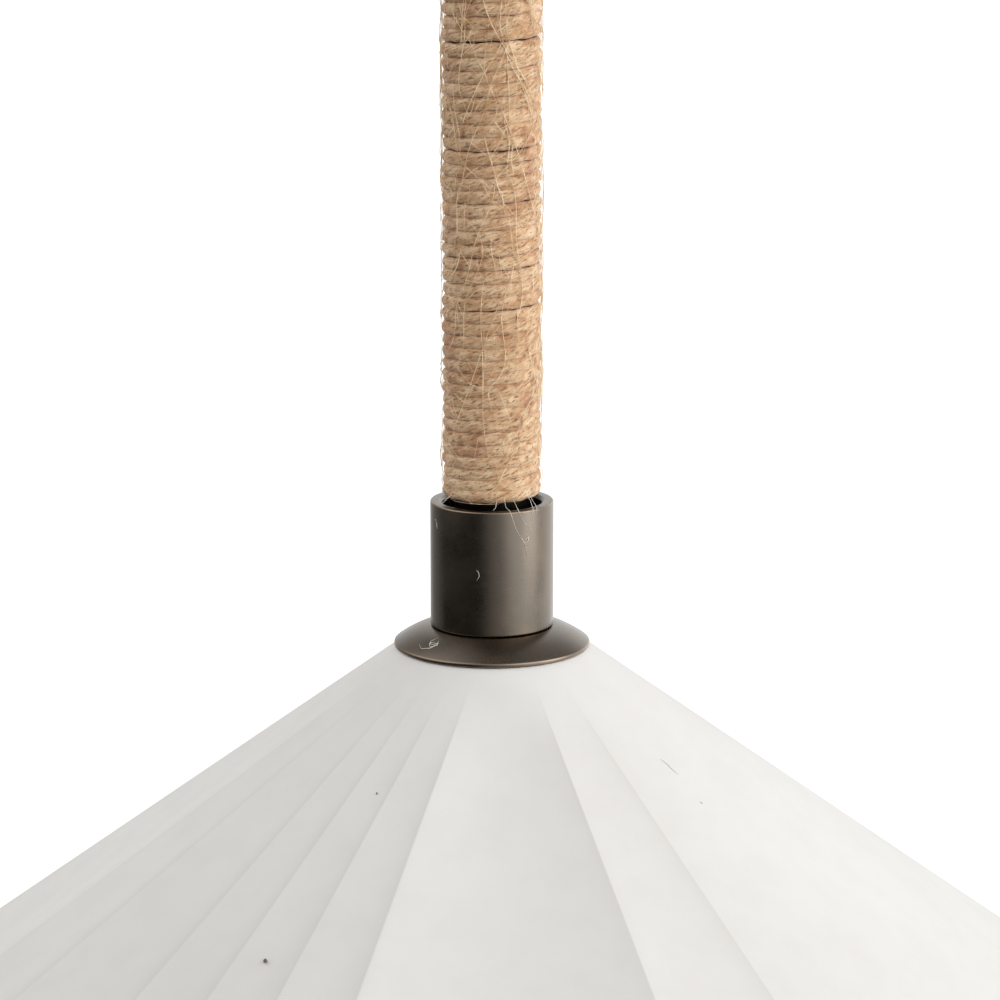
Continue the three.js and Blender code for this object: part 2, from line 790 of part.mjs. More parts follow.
// ---------------------------------------------------------------- bulb
/** Outline of the bulb's glass at a set distance inside its surface, from the neck down. */
function glassOutline(inset) {
  const centre = glassTop - glassLength + glassRadius;
  const neck = glassNeckRadius - inset;
  const neckBottom = capTop - capHeight - 3;
  const radius = glassRadius - inset;
  const points = [[neck, glassTop], [neck, neckBottom]];
  const shoulder = arc(0, centre, radius, 38, -90, 8);
  const [firstRadius, firstHeight] = shoulder[0];
  for (const share of [0.25, 0.5, 0.75]) {
    const ease = THREE.MathUtils.smoothstep(share, 0, 1) * 0.6 + share * 0.4;
    points.push([neck + (firstRadius - neck) * ease, neckBottom + (firstHeight - neckBottom) * share]);
  }
  points.push(...shoulder.slice(0, -1), [0, centre - radius]);
  return points;
}

function buildBulb() {
  const edge = 0.6;
  add('bulb_tip', turned([
    [0, tipTop - tipHeight],
    [tipRadius, tipTop - tipHeight],
    [tipRadius, tipTop - tipHeight / 2],
    [tipRadius / 2, tipTop],
    [0, tipTop],
  ], smallSides), steel);
  add('bulb_insulator', turned([
    [0, capConeTop - capConeHeight],
    [capConeRadius, capConeTop - capConeHeight],
    [tipRadius + edge, capConeTop],
    [0, capConeTop],
  ]), rubber);
  const capBottom = capTop - capHeight;
  add('bulb_cap', turned([
    [0, capTop - capWall],
    [capRadius - capWall, capTop - capWall],
    [capRadius - capWall, capBottom],
    [capRadius, capBottom],
    [capRadius, capTop - edge],
    [capRadius - edge, capTop],
    [0, capTop],
  ]), brass);

  const outside = glassOutline(0);
  const inside = glassOutline(glassWall);
  add('bulb_glass', turned([...outside.toReversed(), ...inside]), clearGlass);

  const waist = mountRadius * 0.6;
  add('bulb_mount', turned([
    [0, mountBottom],
    [mountDiscRadius, mountBottom],
    [mountDiscRadius, mountBottom + mountDiscThickness],
    [waist, mountBottom + 2 * mountDiscThickness],
    [waist, mountTop - mountHeight / 3],
    [mountRadius, mountTop - mountHeight / 6],
    [mountRadius, mountTop],
    [0, mountTop],
  ], smallSides), clearGlass);
  for (let i = 0; i < filamentCount; i += 1) {
    const angle = ((i + 0.5) * 2 * Math.PI) / filamentCount;
    const stick = add(`filament_${i + 1}`, bar(filamentRadius, -filamentLength, 0, 8), filamentYellow);
    stick.position.set(filamentCircle * Math.cos(angle), filamentCircle * Math.sin(angle), filamentTop);
  }
  add('filament_hub', turned([
    [0, hubTop - mountDiscThickness],
    [mountDiscRadius, hubTop - mountDiscThickness],
    [mountDiscRadius, hubTop],
    [0, hubTop],
  ], smallSides), clearGlass);
}

// ---------------------------------------------------------------- the whole lamp
const nippleBottom = buildCanopy();
buildSwivel(nippleBottom);
buildStem();
buildShade();
buildSocket();
buildBulb();

export default pendant;
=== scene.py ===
"""Visual model of a ceiling pendant: bronze fittings, a twine-wrapped stem and a creased cone shade.

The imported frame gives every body, joint and size. This script gives each piece its final mesh and its
finish, lights the lamp softly and sets the camera.
"""

import logging
import math
from dataclasses import dataclass
from enum import Enum
from itertools import pairwise
from typing import Any, Iterable, Mapping, Sequence

import bpy
import numpy as np
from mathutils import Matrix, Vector

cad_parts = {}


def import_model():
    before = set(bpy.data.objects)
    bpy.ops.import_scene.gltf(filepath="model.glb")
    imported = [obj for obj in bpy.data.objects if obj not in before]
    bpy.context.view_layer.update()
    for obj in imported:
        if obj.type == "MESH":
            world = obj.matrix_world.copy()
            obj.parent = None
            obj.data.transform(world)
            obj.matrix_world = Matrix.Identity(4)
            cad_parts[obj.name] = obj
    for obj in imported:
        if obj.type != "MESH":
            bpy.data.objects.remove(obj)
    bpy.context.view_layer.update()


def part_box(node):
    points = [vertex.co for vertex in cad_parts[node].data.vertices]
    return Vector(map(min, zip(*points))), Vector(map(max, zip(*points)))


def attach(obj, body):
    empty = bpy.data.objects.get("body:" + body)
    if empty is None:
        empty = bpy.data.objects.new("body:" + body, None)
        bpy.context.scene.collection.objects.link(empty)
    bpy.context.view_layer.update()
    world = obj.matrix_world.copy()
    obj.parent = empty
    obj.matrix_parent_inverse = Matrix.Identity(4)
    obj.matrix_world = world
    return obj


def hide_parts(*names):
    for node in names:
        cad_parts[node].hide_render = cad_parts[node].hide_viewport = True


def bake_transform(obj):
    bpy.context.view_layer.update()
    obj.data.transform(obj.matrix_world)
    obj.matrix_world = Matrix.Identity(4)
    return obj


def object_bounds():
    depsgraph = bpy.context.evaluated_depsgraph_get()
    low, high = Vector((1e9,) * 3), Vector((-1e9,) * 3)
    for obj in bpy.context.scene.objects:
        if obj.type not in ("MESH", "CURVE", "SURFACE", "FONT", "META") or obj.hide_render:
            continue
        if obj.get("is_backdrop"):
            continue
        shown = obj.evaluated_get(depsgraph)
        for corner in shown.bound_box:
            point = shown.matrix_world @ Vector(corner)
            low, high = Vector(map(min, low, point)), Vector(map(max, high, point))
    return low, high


LOG = logging.getLogger("pendant")

MM = 0.001
FULL_TURN = 2 * math.pi
MERGE_WITHIN = 0.002 * MM
NIPPLE_HOLE = 5.3 * MM
SIDES = ("left", "right")

Outline = list[tuple[float, float]]
Colour = tuple[float, float, float]
Array = np.ndarray


class Body(Enum):
    """The bodies of the frame that pieces ride on."""

    CEILING = "root"
    FORK = "fork"
    STEM = "stem"
    THREAD = "bulb_thread"
    BULB = "bulb"


class Slot(Enum):
    """The record's material slots."""

    BRONZE = "bronze"
    STEEL = "steel"
    JUTE = "jute"
    SHADE = "shade"
    RUBBER = "rubber"
    PORCELAIN = "porcelain"
    BRASS = "brass"
    GLASS = "glass"
    FILAMENT = "filament"
    BLACK_SLEEVE = "black_sleeve"
    WHITE_SLEEVE = "white_sleeve"
    GREEN_SLEEVE = "green_sleeve"
    WIRE_CAP = "wire_cap"


@dataclass(frozen=True)
class Extent:
    """Where a node of the frame lies at rest, in metres."""

    low: Vector
    high: Vector

    @classmethod
    def of(cls, node: str) -> "Extent":
        """Read the box of one node."""
        low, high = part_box(node)
        return cls(low, high)

    @property
    def radius(self) -> float:
        """Half of the node's width along X."""
        return (self.high.x - self.low.x) / 2

    @property
    def bottom(self) -> float:
        """The node's lowest height."""
        return self.low.z

    @property
    def top(self) -> float:
        """The node's highest height."""
        return self.high.z

    @property
    def middle(self) -> Vector:
        """The centre of the node's box."""
        return (self.low + self.high) / 2


# ---------------------------------------------------------------- node trees


class Signal:
    """A shader socket that can be used in arithmetic, each step of which adds its Math node."""

    def __init__(self, bench: "Bench", socket: bpy.types.NodeSocket) -> None:
        """Wrap a socket of the bench's tree."""
        self.bench = bench
        self.socket = socket

    def _math(self, operation: str, *values: Any) -> "Signal":
        """Add a Math node.

        Args:
            operation: the node's operation.
            values: its inputs, in order.

        Returns:
            The node's result.
        """
        sockets = dict(enumerate(values))
        return self.bench.node("ShaderNodeMath", {"operation": operation}, sockets)

    def __add__(self, other: Any) -> "Signal":
        """Add."""
        return self._math("ADD", self, other)

    __radd__ = __add__

    def __sub__(self, other: Any) -> "Signal":
        """Subtract."""
        return self._math("SUBTRACT", self, other)

    def __rsub__(self, other: Any) -> "Signal":
        """Subtract from a number."""
        return self._math("SUBTRACT", other, self)

    def __mul__(self, other: Any) -> "Signal":
        """Multiply."""
        return self._math("MULTIPLY", self, other)

    __rmul__ = __mul__

    def between(self, low: float, high: float) -> "Signal":
        """Ease from 0 at low to 1 at high.

        Args:
            low: the value that gives 0.
            high: the value that gives 1.

        Returns:
            The eased value.
        """
        settings = {"interpolation_type": "SMOOTHSTEP"}
        return self.bench.node("ShaderNodeMapRange", settings, {0: self, 1: low, 2: high})


class Bench:
    """A node tree under construction."""

    def __init__(self, tree: bpy.types.NodeTree) -> None:
        """Start from an empty tree."""
        self.tree = tree
        tree.nodes.clear()

    def node(
        self,
        kind: str,
        settings: Mapping[str, Any] | None = None,
        sockets: Mapping[int | str, Any] | None = None,
        output: int | str = 0,
    ) -> "Signal | None":
        """Add a node.

        Args:
            kind: the node's type.
            settings: its properties, set first; "stops" fills a ramp.
            sockets: values or signals for its inputs.
            output: the output that is returned.

        Returns:
            The chosen output, or nothing for a node that has none.
        """
        made = self.tree.nodes.new(kind)
        for name, value in (settings or {}).items():
            if name == "stops":
                self._fill_ramp(made.color_ramp, value)
            else:
                setattr(made, name, value)
        for key, value in (sockets or {}).items():
            if isinstance(value, Signal):
                self.tree.links.new(value.socket, made.inputs[key])
            else:
                made.inputs[key].default_value = value
        return Signal(self, made.outputs[output]) if made.outputs else None

    @staticmethod
    def _fill_ramp(ramp: bpy.types.ColorRamp, stops: Sequence[tuple[float, Colour]]) -> None:
        """Give a ramp its stops."""
        while len(ramp.elements) < len(stops):
            ramp.elements.new(1.0)
        for element, (place, colour) in zip(ramp.elements, stops):
            element.position = place
            element.color = (*colour, 1.0)

    def place(self) -> Signal:
        """The shaded point in the object's own coordinates, in metres."""
        return self.node("ShaderNodeTexCoord", output="Object")

    def axis(self, vector: Signal, name: str) -> Signal:
        """One coordinate of a vector, by its letter."""
        return self.node("ShaderNodeSeparateXYZ", sockets={0: vector}, output=name)

    def stretched(self, vector: Signal, scale: Colour) -> Signal:
        """A vector scaled along each axis."""
        return self.node("ShaderNodeMapping", sockets={"Vector": vector, "Scale": scale})

    def noise(self, vector: Signal, scale: float, detail: float = 3.0, rough: float = 0.5) -> Signal:
        """Soft noise.

        Args:
            vector: where it is read.
            scale: features per unit.
            detail: octaves.
            rough: how strong the finer octaves are.

        Returns:
            A value about 0.5.
        """
        sockets = {"Vector": vector, "Scale": scale, "Detail": detail, "Roughness": rough}
        return self.node("ShaderNodeTexNoise", sockets=sockets)

    def mix(self, share: Signal | float, first: Any, second: Any) -> Signal:
        """Blend two colours.

        Args:
            share: how much of the second.
            first: a colour or a signal.
            second: a colour or a signal.

        Returns:
            The blended colour.
        """
        sockets = {0: share, 6: self._opaque(first), 7: self._opaque(second)}
        return self.node("ShaderNodeMix", {"data_type": "RGBA"}, sockets, output=2)

    @staticmethod
    def _opaque(value: Any) -> Any:
        """A plain colour with its fourth number, or the signal as it is."""
        return value if isinstance(value, Signal) else (*value, 1.0)


class Surface(Bench):
    """A material with one Principled shader."""

    def __init__(self, name: str, **uniform: Any) -> None:
        """Make the material.

        Args:
            name: the material's name.
            uniform: numbers set on the shader's own sockets, with _ for each space.
        """
        self.material = bpy.data.materials.new(name)
        self.material.use_nodes = True
        super().__init__(self.material.node_tree)
        self.shader = self.tree.nodes.new("ShaderNodeBsdfPrincipled")
        output = self.tree.nodes.new("ShaderNodeOutputMaterial")
        self.tree.links.new(self.shader.outputs[0], output.inputs[0])
        for key, value in uniform.items():
            self.shader.inputs[key.replace("_", " ")].default_value = value

    def drive(self, socket: str, signal: Signal) -> None:
        """Link a signal to one of the shader's sockets."""
        self.tree.links.new(signal.socket, self.shader.inputs[socket])

    def relief(self, height: Signal, distance: float, strength: float = 1.0) -> None:
        """Raise the surface by a bump.

        Args:
            height: the relief, about 0 to 1.
            distance: its depth in metres.
            strength: how much of it is used.
        """
        sockets = {"Height": height, "Distance": distance, "Strength": strength}
        self.drive("Normal", self.node("ShaderNodeBump", sockets=sockets))


# ---------------------------------------------------------------- finishes


@dataclass(frozen=True)
class DarkBronze:
    """Oil-rubbed bronze: satin, faintly mottled, warmer where it is rubbed."""

    deep: Colour = (0.155, 0.133, 0.110)
    worn: Colour = (0.265, 0.207, 0.152)
    bare: Colour = (0.55, 0.39, 0.26)
    roughness: float = 0.29

    def build(self) -> bpy.types.Material:
        """Make the material."""
        surface = Surface("dark_bronze", Metallic=1.0)
        place = surface.place()
        cloud = surface.noise(place, 70.0, 4.0, 0.55).between(0.36, 0.72)
        fine = surface.noise(place, 900.0, 3.0, 0.6)
        brushed = surface.noise(surface.stretched(place, (90.0, 90.0, 2600.0)), 1.0, 2.0)
        wear = cloud * 0.42 + fine.between(0.5, 0.8) * 0.12
        rubbed = surface.node("ShaderNodeAttribute", {"attribute_name": "rubbed"}, output="Fac")
        coat = surface.mix(wear, self.deep, self.worn)
        surface.drive("Base Color", surface.mix(rubbed * 0.42, coat, self.bare))
        surface.drive("Roughness", self.roughness + (fine - 0.5) * 0.10 + (cloud - 0.5) * 0.05)
        surface.relief(fine * 0.4 + brushed * 0.6, 0.02 * MM, 0.45)
        return surface.material


@dataclass(frozen=True)
class PlatedSteel:
    """Zinc-plated steel with a fine grain and faint blooms."""

    bright: Colour = (0.62, 0.62, 0.60)
    dull: Colour = (0.44, 0.44, 0.43)

    def build(self) -> bpy.types.Material:
        """Make the material."""
        surface = Surface("plated_steel", Metallic=1.0)
        place = surface.place()
        bloom = surface.noise(place, 160.0, 4.0).between(0.35, 0.7)
        grain = surface.noise(surface.stretched(place, (400.0, 400.0, 3000.0)), 1.0, 2.0)
        surface.drive("Base Color", surface.mix(bloom, self.bright, self.dull))
        surface.drive("Roughness", 0.27 + bloom * 0.14 + (grain - 0.5) * 0.1)
        surface.relief(grain, 0.02 * MM, 0.5)
        return surface.material


@dataclass(frozen=True)
class LampBrass:
    """Bright thin brass with handling marks."""

    bright: Colour = (0.78, 0.58, 0.27)
    dull: Colour = (0.52, 0.37, 0.17)

    def build(self) -> bpy.types.Material:
        """Make the material."""
        surface = Surface("lamp_brass", Metallic=1.0)
        place = surface.place()
        tarnish = surface.noise(place, 130.0, 5.0, 0.6).between(0.42, 0.75)
        surface.drive("Base Color", surface.mix(tarnish, self.bright, self.dull))
        surface.drive("Roughness", 0.2 + tarnish * 0.25)
        surface.relief(surface.noise(place, 1500.0, 2.0), 0.01 * MM, 0.4)
        return surface.material


@dataclass(frozen=True)
class JuteTwine:
    """Two-ply jute: fibres along the plies, with paler and redder stretches, dark streaks that are partly
    darker fibres and partly painted shade between them, and pale streaks that are partly paler fibres and
    partly painted highlights.
    """

    straw: Colour = (0.68, 0.395, 0.205)
    pale: Colour = (0.90, 0.655, 0.42)
    ruddy: Colour = (0.46, 0.185, 0.08)

    def build(self) -> bpy.types.Material:
        """Make the material."""
        surface = Surface("jute_twine", Roughness=0.75, Specular_IOR_Level=0.25, Sheen_Weight=0.3)
        along = surface.node("ShaderNodeUVMap", {"uv_map": "strand"})
        place = surface.place()
        hairs = surface.noise(surface.stretched(along, (0.60, 17.0, 1.0)), 1.0, 4.0, 0.65)
        coarse = surface.noise(surface.stretched(along, (0.20, 5.0, 1.0)), 1.0, 3.0, 0.6)
        drift = surface.noise(surface.stretched(place, (75.0, 75.0, 95.0)), 1.0, 3.0, 0.65)
        stain = surface.noise(surface.stretched(place, (150.0, 150.0, 110.0)), 1.0, 2.0, 0.6)
        base = surface.mix(coarse.between(0.36, 0.66), self.straw, self.pale)
        base = surface.mix(drift.between(0.53, 0.70) * 0.65, base, self.ruddy)
        base = surface.mix(stain.between(0.60, 0.70) * 0.6, base, self.ruddy)
        # Painted shade and highlights: the dark streaks are partly darker fibres and partly painted shade in
        # the gaps between fibres; the pale streaks are partly paler fibres and partly painted highlights.
        dark_fibres_and_gap_shade = 1.0 - hairs.between(0.35, 0.49)
        bright = hairs.between(0.56, 0.70)
        base = surface.mix(dark_fibres_and_gap_shade * 0.85, base, (0.21, 0.11, 0.05))
        base = surface.mix(bright * 0.6, base, (0.95, 0.82, 0.62))
        surface.drive("Base Color", base)
        surface.relief(hairs * 0.7 + coarse * 0.3, 0.5 * MM, 1.0)
        return surface.material


@dataclass(frozen=True)
class FineMatter:
    """Matte fibres, the twine's bed or specks in two blended tones: by default, loose golden jute. A set
    glow makes the piece shine in its own colour, as painted light.
    """

    name: str = "loose_fibre"
    gold: Colour = (0.90, 0.74, 0.50)
    brown: Colour = (0.66, 0.45, 0.26)
    painted_glow: float = 0.0

    def build(self) -> bpy.types.Material:
        """Make the material."""
        # Painted light: the glow makes loose fibres and hairs shine though they are no lamp.
        surface = Surface(self.name, Roughness=0.6, Emission_Strength=self.painted_glow)
        tone = surface.noise(surface.place(), 240.0, 2.0).between(0.42, 0.62)
        colour = surface.mix(tone, self.gold, self.brown)
        surface.drive("Base Color", colour)
        surface.drive("Emission Color", colour)
        return surface.material


@dataclass(frozen=True)
class ShadePulp:
    """Off-white moulded pulp: dead matte, with faint clouds, specks and a few hairlines, and a thin grey
    line of painted shade beside each crease.
    """

    base: Colour = (0.868, 0.858, 0.828)
    cloud: Colour = (0.822, 0.802, 0.770)
    speck: Colour = (0.52, 0.46, 0.38)
    crease_shade: Colour = (0.70, 0.68, 0.64)

    def build(self) -> bpy.types.Material:
        """Make the material."""
        surface = Surface("shade_pulp", Roughness=0.92, Specular_IOR_Level=0.18)
        place = surface.place()
        clouds = surface.noise(place, 9.0, 5.0, 0.55).between(0.38, 0.66)
        mottle = surface.noise(place, 85.0, 5.0, 0.6).between(0.35, 0.7)
        tooth = surface.noise(place, 700.0, 4.0, 0.6)
        cells = surface.node(
            "ShaderNodeTexVoronoi",
            sockets={"Vector": place, "Scale": 38.0, "Randomness": 1.0},
            output="Distance",
        )
        specks = 1.0 - cells.between(0.012, 0.022)
        rare = surface.noise(place, 21.0, 1.0).between(0.56, 0.60)
        base = surface.mix(clouds * 0.45 + mottle * 0.4, self.base, self.cloud)
        base = surface.mix(specks * rare * 0.7, base, self.speck)
        # Painted shade: a thin grey line beside each crease.
        painted_crease_shade = surface.node("ShaderNodeAttribute", {"attribute_name": "painted_crease_shade"}, output="Fac")
        base = surface.mix(painted_crease_shade * 0.5, base, self.crease_shade)
        surface.drive("Base Color", base)
        surface.relief(tooth * 0.6 + mottle * 0.4, 0.06 * MM, 0.5)
        return surface.material


@dataclass(frozen=True)
class Glaze:
    """White glazed porcelain."""

    colour: Colour = (0.87, 0.85, 0.79)

    def build(self) -> bpy.types.Material:
        """Make the material."""
        surface = Surface("porcelain", Roughness=0.16, Coat_Weight=0.6, Coat_Roughness=0.08)
        place = surface.place()
        cloud = surface.noise(place, 120.0, 4.0).between(0.4, 0.7)
        surface.drive("Base Color", surface.mix(cloud * 0.5, self.colour, (0.78, 0.75, 0.67)))
        surface.relief(surface.noise(place, 260.0, 2.0), 0.05 * MM, 0.4)
        return surface.material


@dataclass(frozen=True)
class ClearGlass:
    """Thin clear glass."""

    def build(self) -> bpy.types.Material:
        """Make the material."""
        surface = Surface("clear_glass", Roughness=0.02, IOR=1.47, Transmission_Weight=1.0)
        seed = surface.noise(surface.place(), 60.0, 2.0)
        surface.drive("Base Color", surface.mix(seed, (0.97, 0.985, 0.98), (0.93, 0.96, 0.955)))
        return surface.material


@dataclass(frozen=True)
class Moulded:
    """A plain moulded or extruded plastic or rubber in one tone, with a fine skin."""

    name: str
    colour: Colour
    roughness: float = 0.5
    grain: float = 900.0

    def build(self) -> bpy.types.Material:
        """Make the material."""
        surface = Surface(self.name)
        place = surface.place()
        skin = surface.noise(place, self.grain, 3.0)
        dust = surface.noise(place, 140.0, 3.0).between(0.5, 0.85)
        lighter = tuple(min(1.0, 0.06 + 1.15 * part) for part in self.colour)
        surface.drive("Base Color", surface.mix(dust * 0.5, self.colour, lighter))
        surface.drive("Roughness", self.roughness + (skin - 0.5) * 0.2)
        surface.relief(skin, 0.03 * MM, 0.5)
        return surface.material


class Finishes:
    """Every material of the lamp, each built once."""

    def __init__(self) -> None:
        """Build the materials."""
        self.bronze = DarkBronze().build()
        self.steel = PlatedSteel().build()
        self.brass = LampBrass().build()
        self.jute = JuteTwine().build()
        # The loose fibres and pale hairs glow faintly as painted light.
        self.fibre = FineMatter(painted_glow=0.10).build()
        self.hair = FineMatter("pale_hair", (0.95, 0.90, 0.80), (0.88, 0.80, 0.66), 0.22).build()
        # Painted shade: the twine's bed is dark brown, standing for the shade in the gaps between the turns.
        self.gap_shade_bed = FineMatter("twine_gap_shade", (0.20, 0.12, 0.065), (0.10, 0.06, 0.035)).build()
        self.pulp = ShadePulp().build()
        self.fleck = FineMatter("shade_fleck", (0.16, 0.13, 0.10), (0.09, 0.075, 0.06)).build()
        self.porcelain = Glaze().build()
        self.glass = ClearGlass().build()
        self.rubber = Moulded("rubber", (0.022, 0.021, 0.02), 0.7).build()
        self.phosphor = Moulded("phosphor", (0.86, 0.62, 0.16), 0.6).build()
        self.black = Moulded("black_sleeve", (0.02, 0.02, 0.02), 0.42).build()
        self.white = Moulded("white_sleeve", (0.78, 0.77, 0.73), 0.42).build()
        self.green = Moulded("green_sleeve", (0.03, 0.2, 0.06), 0.42).build()
        self.cap = Moulded("wire_cap", (0.2, 0.185, 0.17), 0.5).build()
        self.slots = {
            Slot.BRONZE: self.bronze,
            Slot.STEEL: self.steel,
            Slot.JUTE: self.jute,
            Slot.SHADE: self.pulp,
            Slot.RUBBER: self.rubber,
            Slot.PORCELAIN: self.porcelain,
            Slot.BRASS: self.brass,
            Slot.GLASS: self.glass,
            Slot.FILAMENT: self.phosphor,
            Slot.BLACK_SLEEVE: self.black,
            Slot.WHITE_SLEEVE: self.white,
            Slot.GREEN_SLEEVE: self.green,
            Slot.WIRE_CAP: self.cap,
        }


# ---------------------------------------------------------------- outlines and mesh work


def fillet(outline: Outline, radius: float, steps: int = 4) -> Outline:
    """Round each inner corner of an open outline.

    Args:
        outline: points of radius and height.
        radius: the rounding's size, made smaller where a side is short.
        steps: divisions of each rounding.

    Returns:
        The rounded outline, with its two ends as they were.
    """
    rounded = [outline[0]]
    for before, corner, after in zip(outline, outline[1:], outline[2:]):
        here = np.array(corner)
        back = np.array(before) - here
        ahead = np.array(after) - here
        reach = min(radius, np.linalg.norm(back) * 0.45, np.linalg.norm(ahead) * 0.45)
        start = here + back / np.linalg.norm(back) * reach
        end = here + ahead / np.linalg.norm(ahead) * reach
        for share in np.linspace(0, 1, steps + 1):
            point = (1 - share) ** 2 * start + 2 * share * (1 - share) * here + share**2 * end
            rounded.append((float(point[0]), float(point[1])))
    rounded.append(outline[-1])
    return rounded


def closed_fillet(outline: Outline, radius: float, steps: int = 4) -> Outline:
    """Round every corner of a closed outline, whose last point repeats its first.

    Args:
        outline: points of radius and height.
        radius: the rounding's size.
        steps: divisions of each rounding.

    Returns:
        The rounded outline, closed again.
    """
    (first_r, first_z), (second_r, second_z) = outline[0], outline[1]
    start = ((first_r + second_r) / 2, (first_z + second_z) / 2)
    turned = [start, *outline[1:], start]
    return fillet(turned, radius, steps)


def leave_selection() -> None:
    """Go to object mode with nothing selected."""
    if bpy.context.object is not None and bpy.context.object.mode != "OBJECT":
        bpy.ops.object.mode_set(mode="OBJECT")
    bpy.ops.object.select_all(action="DESELECT")


def pick(piece: bpy.types.Object) -> None:
    """Select one piece alone and make it active."""
    leave_selection()
    piece.select_set(True)
    bpy.context.view_layer.objects.active = piece


def smooth(piece: bpy.types.Object, angle: float = 32.0) -> bpy.types.Object:
    """Shade a piece smooth, with edges sharper than an angle in degrees kept."""
    pick(piece)
    bpy.ops.object.shade_smooth_by_angle(angle=math.radians(angle))
    return piece


def turn_outline(name: str, outline: Outline, steps: int = 96) -> bpy.types.Object:
    """Turn an outline about Z, as on a lathe.

    Args:
        name: the piece's name.
        outline: points of radius and height, from the axis to the axis or closed.
        steps: divisions round the axis.

    Returns:
        The turned piece.
    """
    leave_selection()
    bpy.ops.mesh.primitive_plane_add(size=MM)
    piece = bpy.context.active_object
    piece.name = name
    piece.data.name = name
    bpy.ops.object.mode_set(mode="EDIT")
    bpy.ops.mesh.select_all(action="SELECT")
    bpy.ops.mesh.merge(type="CENTER")
    bpy.ops.transform.translate(value=(outline[0][0], 0, outline[0][1]))
    for (radius, height), (next_radius, next_height) in pairwise(outline):
        step = (next_radius - radius, 0, next_height - height)
        bpy.ops.mesh.extrude_vertices_move(TRANSFORM_OT_translate={"value": step})
    bpy.ops.mesh.select_all(action="SELECT")
    bpy.ops.mesh.spin(steps=steps, angle=FULL_TURN, center=(0, 0, 0), axis=(0, 0, 1))
    bpy.ops.mesh.select_all(action="SELECT")
    bpy.ops.mesh.remove_doubles(threshold=MERGE_WITHIN)
    bpy.ops.mesh.normals_make_consistent(inside=False)
    bpy.ops.object.mode_set(mode="OBJECT")
    return smooth(piece)


def apply_modifier(piece: bpy.types.Object, kind: str, **settings: Any) -> None:
    """Add a modifier and apply it.

    Args:
        piece: the piece.
        kind: the modifier's type.
        settings: its properties.
    """
    pick(piece)
    modifier = piece.modifiers.new(kind.lower(), kind)
    for name, value in settings.items():
        setattr(modifier, name, value)
    bpy.ops.object.modifier_apply(modifier=modifier.name)


def bevel(piece: bpy.types.Object, width: float, segments: int = 2) -> None:
    """Round a piece's sharp edges by a width in metres."""
    limit = math.radians(34)
    apply_modifier(piece, "BEVEL", width=width, segments=segments, limit_method="ANGLE", angle_limit=limit)


def carve(piece: bpy.types.Object, *tools: bpy.types.Object, operation: str = "DIFFERENCE") -> None:
    """Cut a piece with others, which are used up.

    Args:
        piece: the piece that is cut.
        tools: the cutting shapes.
        operation: DIFFERENCE, UNION or INTERSECT.
    """
    for tool in tools:
        apply_modifier(piece, "BOOLEAN", operation=operation, object=tool, solver="EXACT")
        bpy.data.objects.remove(tool)


def rod(radius: float, start: Vector, end: Vector, sides: int = 48) -> bpy.types.Object:
    """A plain cylinder between two points, used as a cutting tool.

    Args:
        radius: its radius.
        start: one end.
        end: the other end.
        sides: its sides.

    Returns:
        The cylinder, with its place in its mesh.
    """
    leave_selection()
    span = Vector(end) - Vector(start)
    turn = span.to_track_quat("Z", "Y").to_euler()
    middle = (Vector(start) + Vector(end)) / 2
    bpy.ops.mesh.primitive_cylinder_add(
        vertices=sides, radius=radius, depth=span.length, location=middle, rotation=turn
    )
    return settle(bpy.context.active_object)


def block(low: Iterable[float], high: Iterable[float]) -> bpy.types.Object:
    """A plain box between two corners, used as a cutting tool."""
    leave_selection()
    low, high = Vector(low), Vector(high)
    bpy.ops.mesh.primitive_cube_add(size=1, location=(low + high) / 2, scale=high - low)
    return settle(bpy.context.active_object)


def settle(piece: bpy.types.Object) -> bpy.types.Object:
    """Move a piece's place, turn and scale into its mesh."""
    pick(piece)
    bpy.ops.object.transform_apply(location=True, rotation=True, scale=True)
    return piece


def merged_copy(node: str) -> bpy.types.Object:
    """A copy of a frame node with its doubles merged, left in edit mode with all of it selected."""
    piece = bpy.data.objects.new(f"{node}_finished", bpy.data.objects[node].data.copy())
    bpy.context.scene.collection.objects.link(piece)
    pick(piece)
    bpy.ops.object.mode_set(mode="EDIT")
    bpy.ops.mesh.select_all(action="SELECT")
    bpy.ops.mesh.remove_doubles(threshold=MERGE_WITHIN)
    return piece


def refined(node: str, edge: float) -> bpy.types.Object:
    """A merged copy of a frame node with its flats joined and its edges rounded.

    Args:
        node: the node that is copied.
        edge: the rounding's width in metres.

    Returns:
        The copy.
    """
    piece = merged_copy(node)
    bpy.ops.mesh.dissolve_limited(angle_limit=math.radians(2))
    bpy.ops.object.mode_set(mode="OBJECT")
    bevel(piece, edge)
    return smooth(piece)


def grid_mesh(name: str, rows: Array, uv: Array | None = None) -> bpy.types.Object:
    """A tube of quads through rows of points, closed at both ends.

    Args:
        name: the piece's name.
        rows: points, as rows by sides by 3.
        uv: a place on the strand for each point and its closing side, as rows by sides + 1 by 2.

    Returns:
        The piece.
    """
    count, sides = rows.shape[:2]
    index = np.arange(count * sides).reshape(count, sides)
    ahead = np.roll(index, -1, axis=1)
    quads = np.stack([index[:-1], ahead[:-1], ahead[1:], index[1:]], axis=-1).reshape(-1, 4)
    caps = [index[0][::-1].tolist(), index[-1].tolist()]
    mesh = bpy.data.meshes.new(name)
    mesh.from_pydata(rows.reshape(-1, 3), [], quads.tolist() + caps)
    if uv is not None:
        corner = np.stack([uv[:-1, :-1], uv[:-1, 1:], uv[1:, 1:], uv[1:, :-1]], axis=2).reshape(-1, 2)
        ends = np.concatenate([uv[0, :-1][::-1], uv[-1, :-1]])
        layer = mesh.uv_layers.new(name="strand")
        layer.data.foreach_set("uv", np.concatenate([corner, ends]).astype(np.float32).ravel())
    mesh.polygons.foreach_set("use_smooth", np.ones(len(mesh.polygons), dtype=bool))
    piece = bpy.data.objects.new(name, mesh)
    bpy.context.scene.collection.objects.link(piece)
    return piece


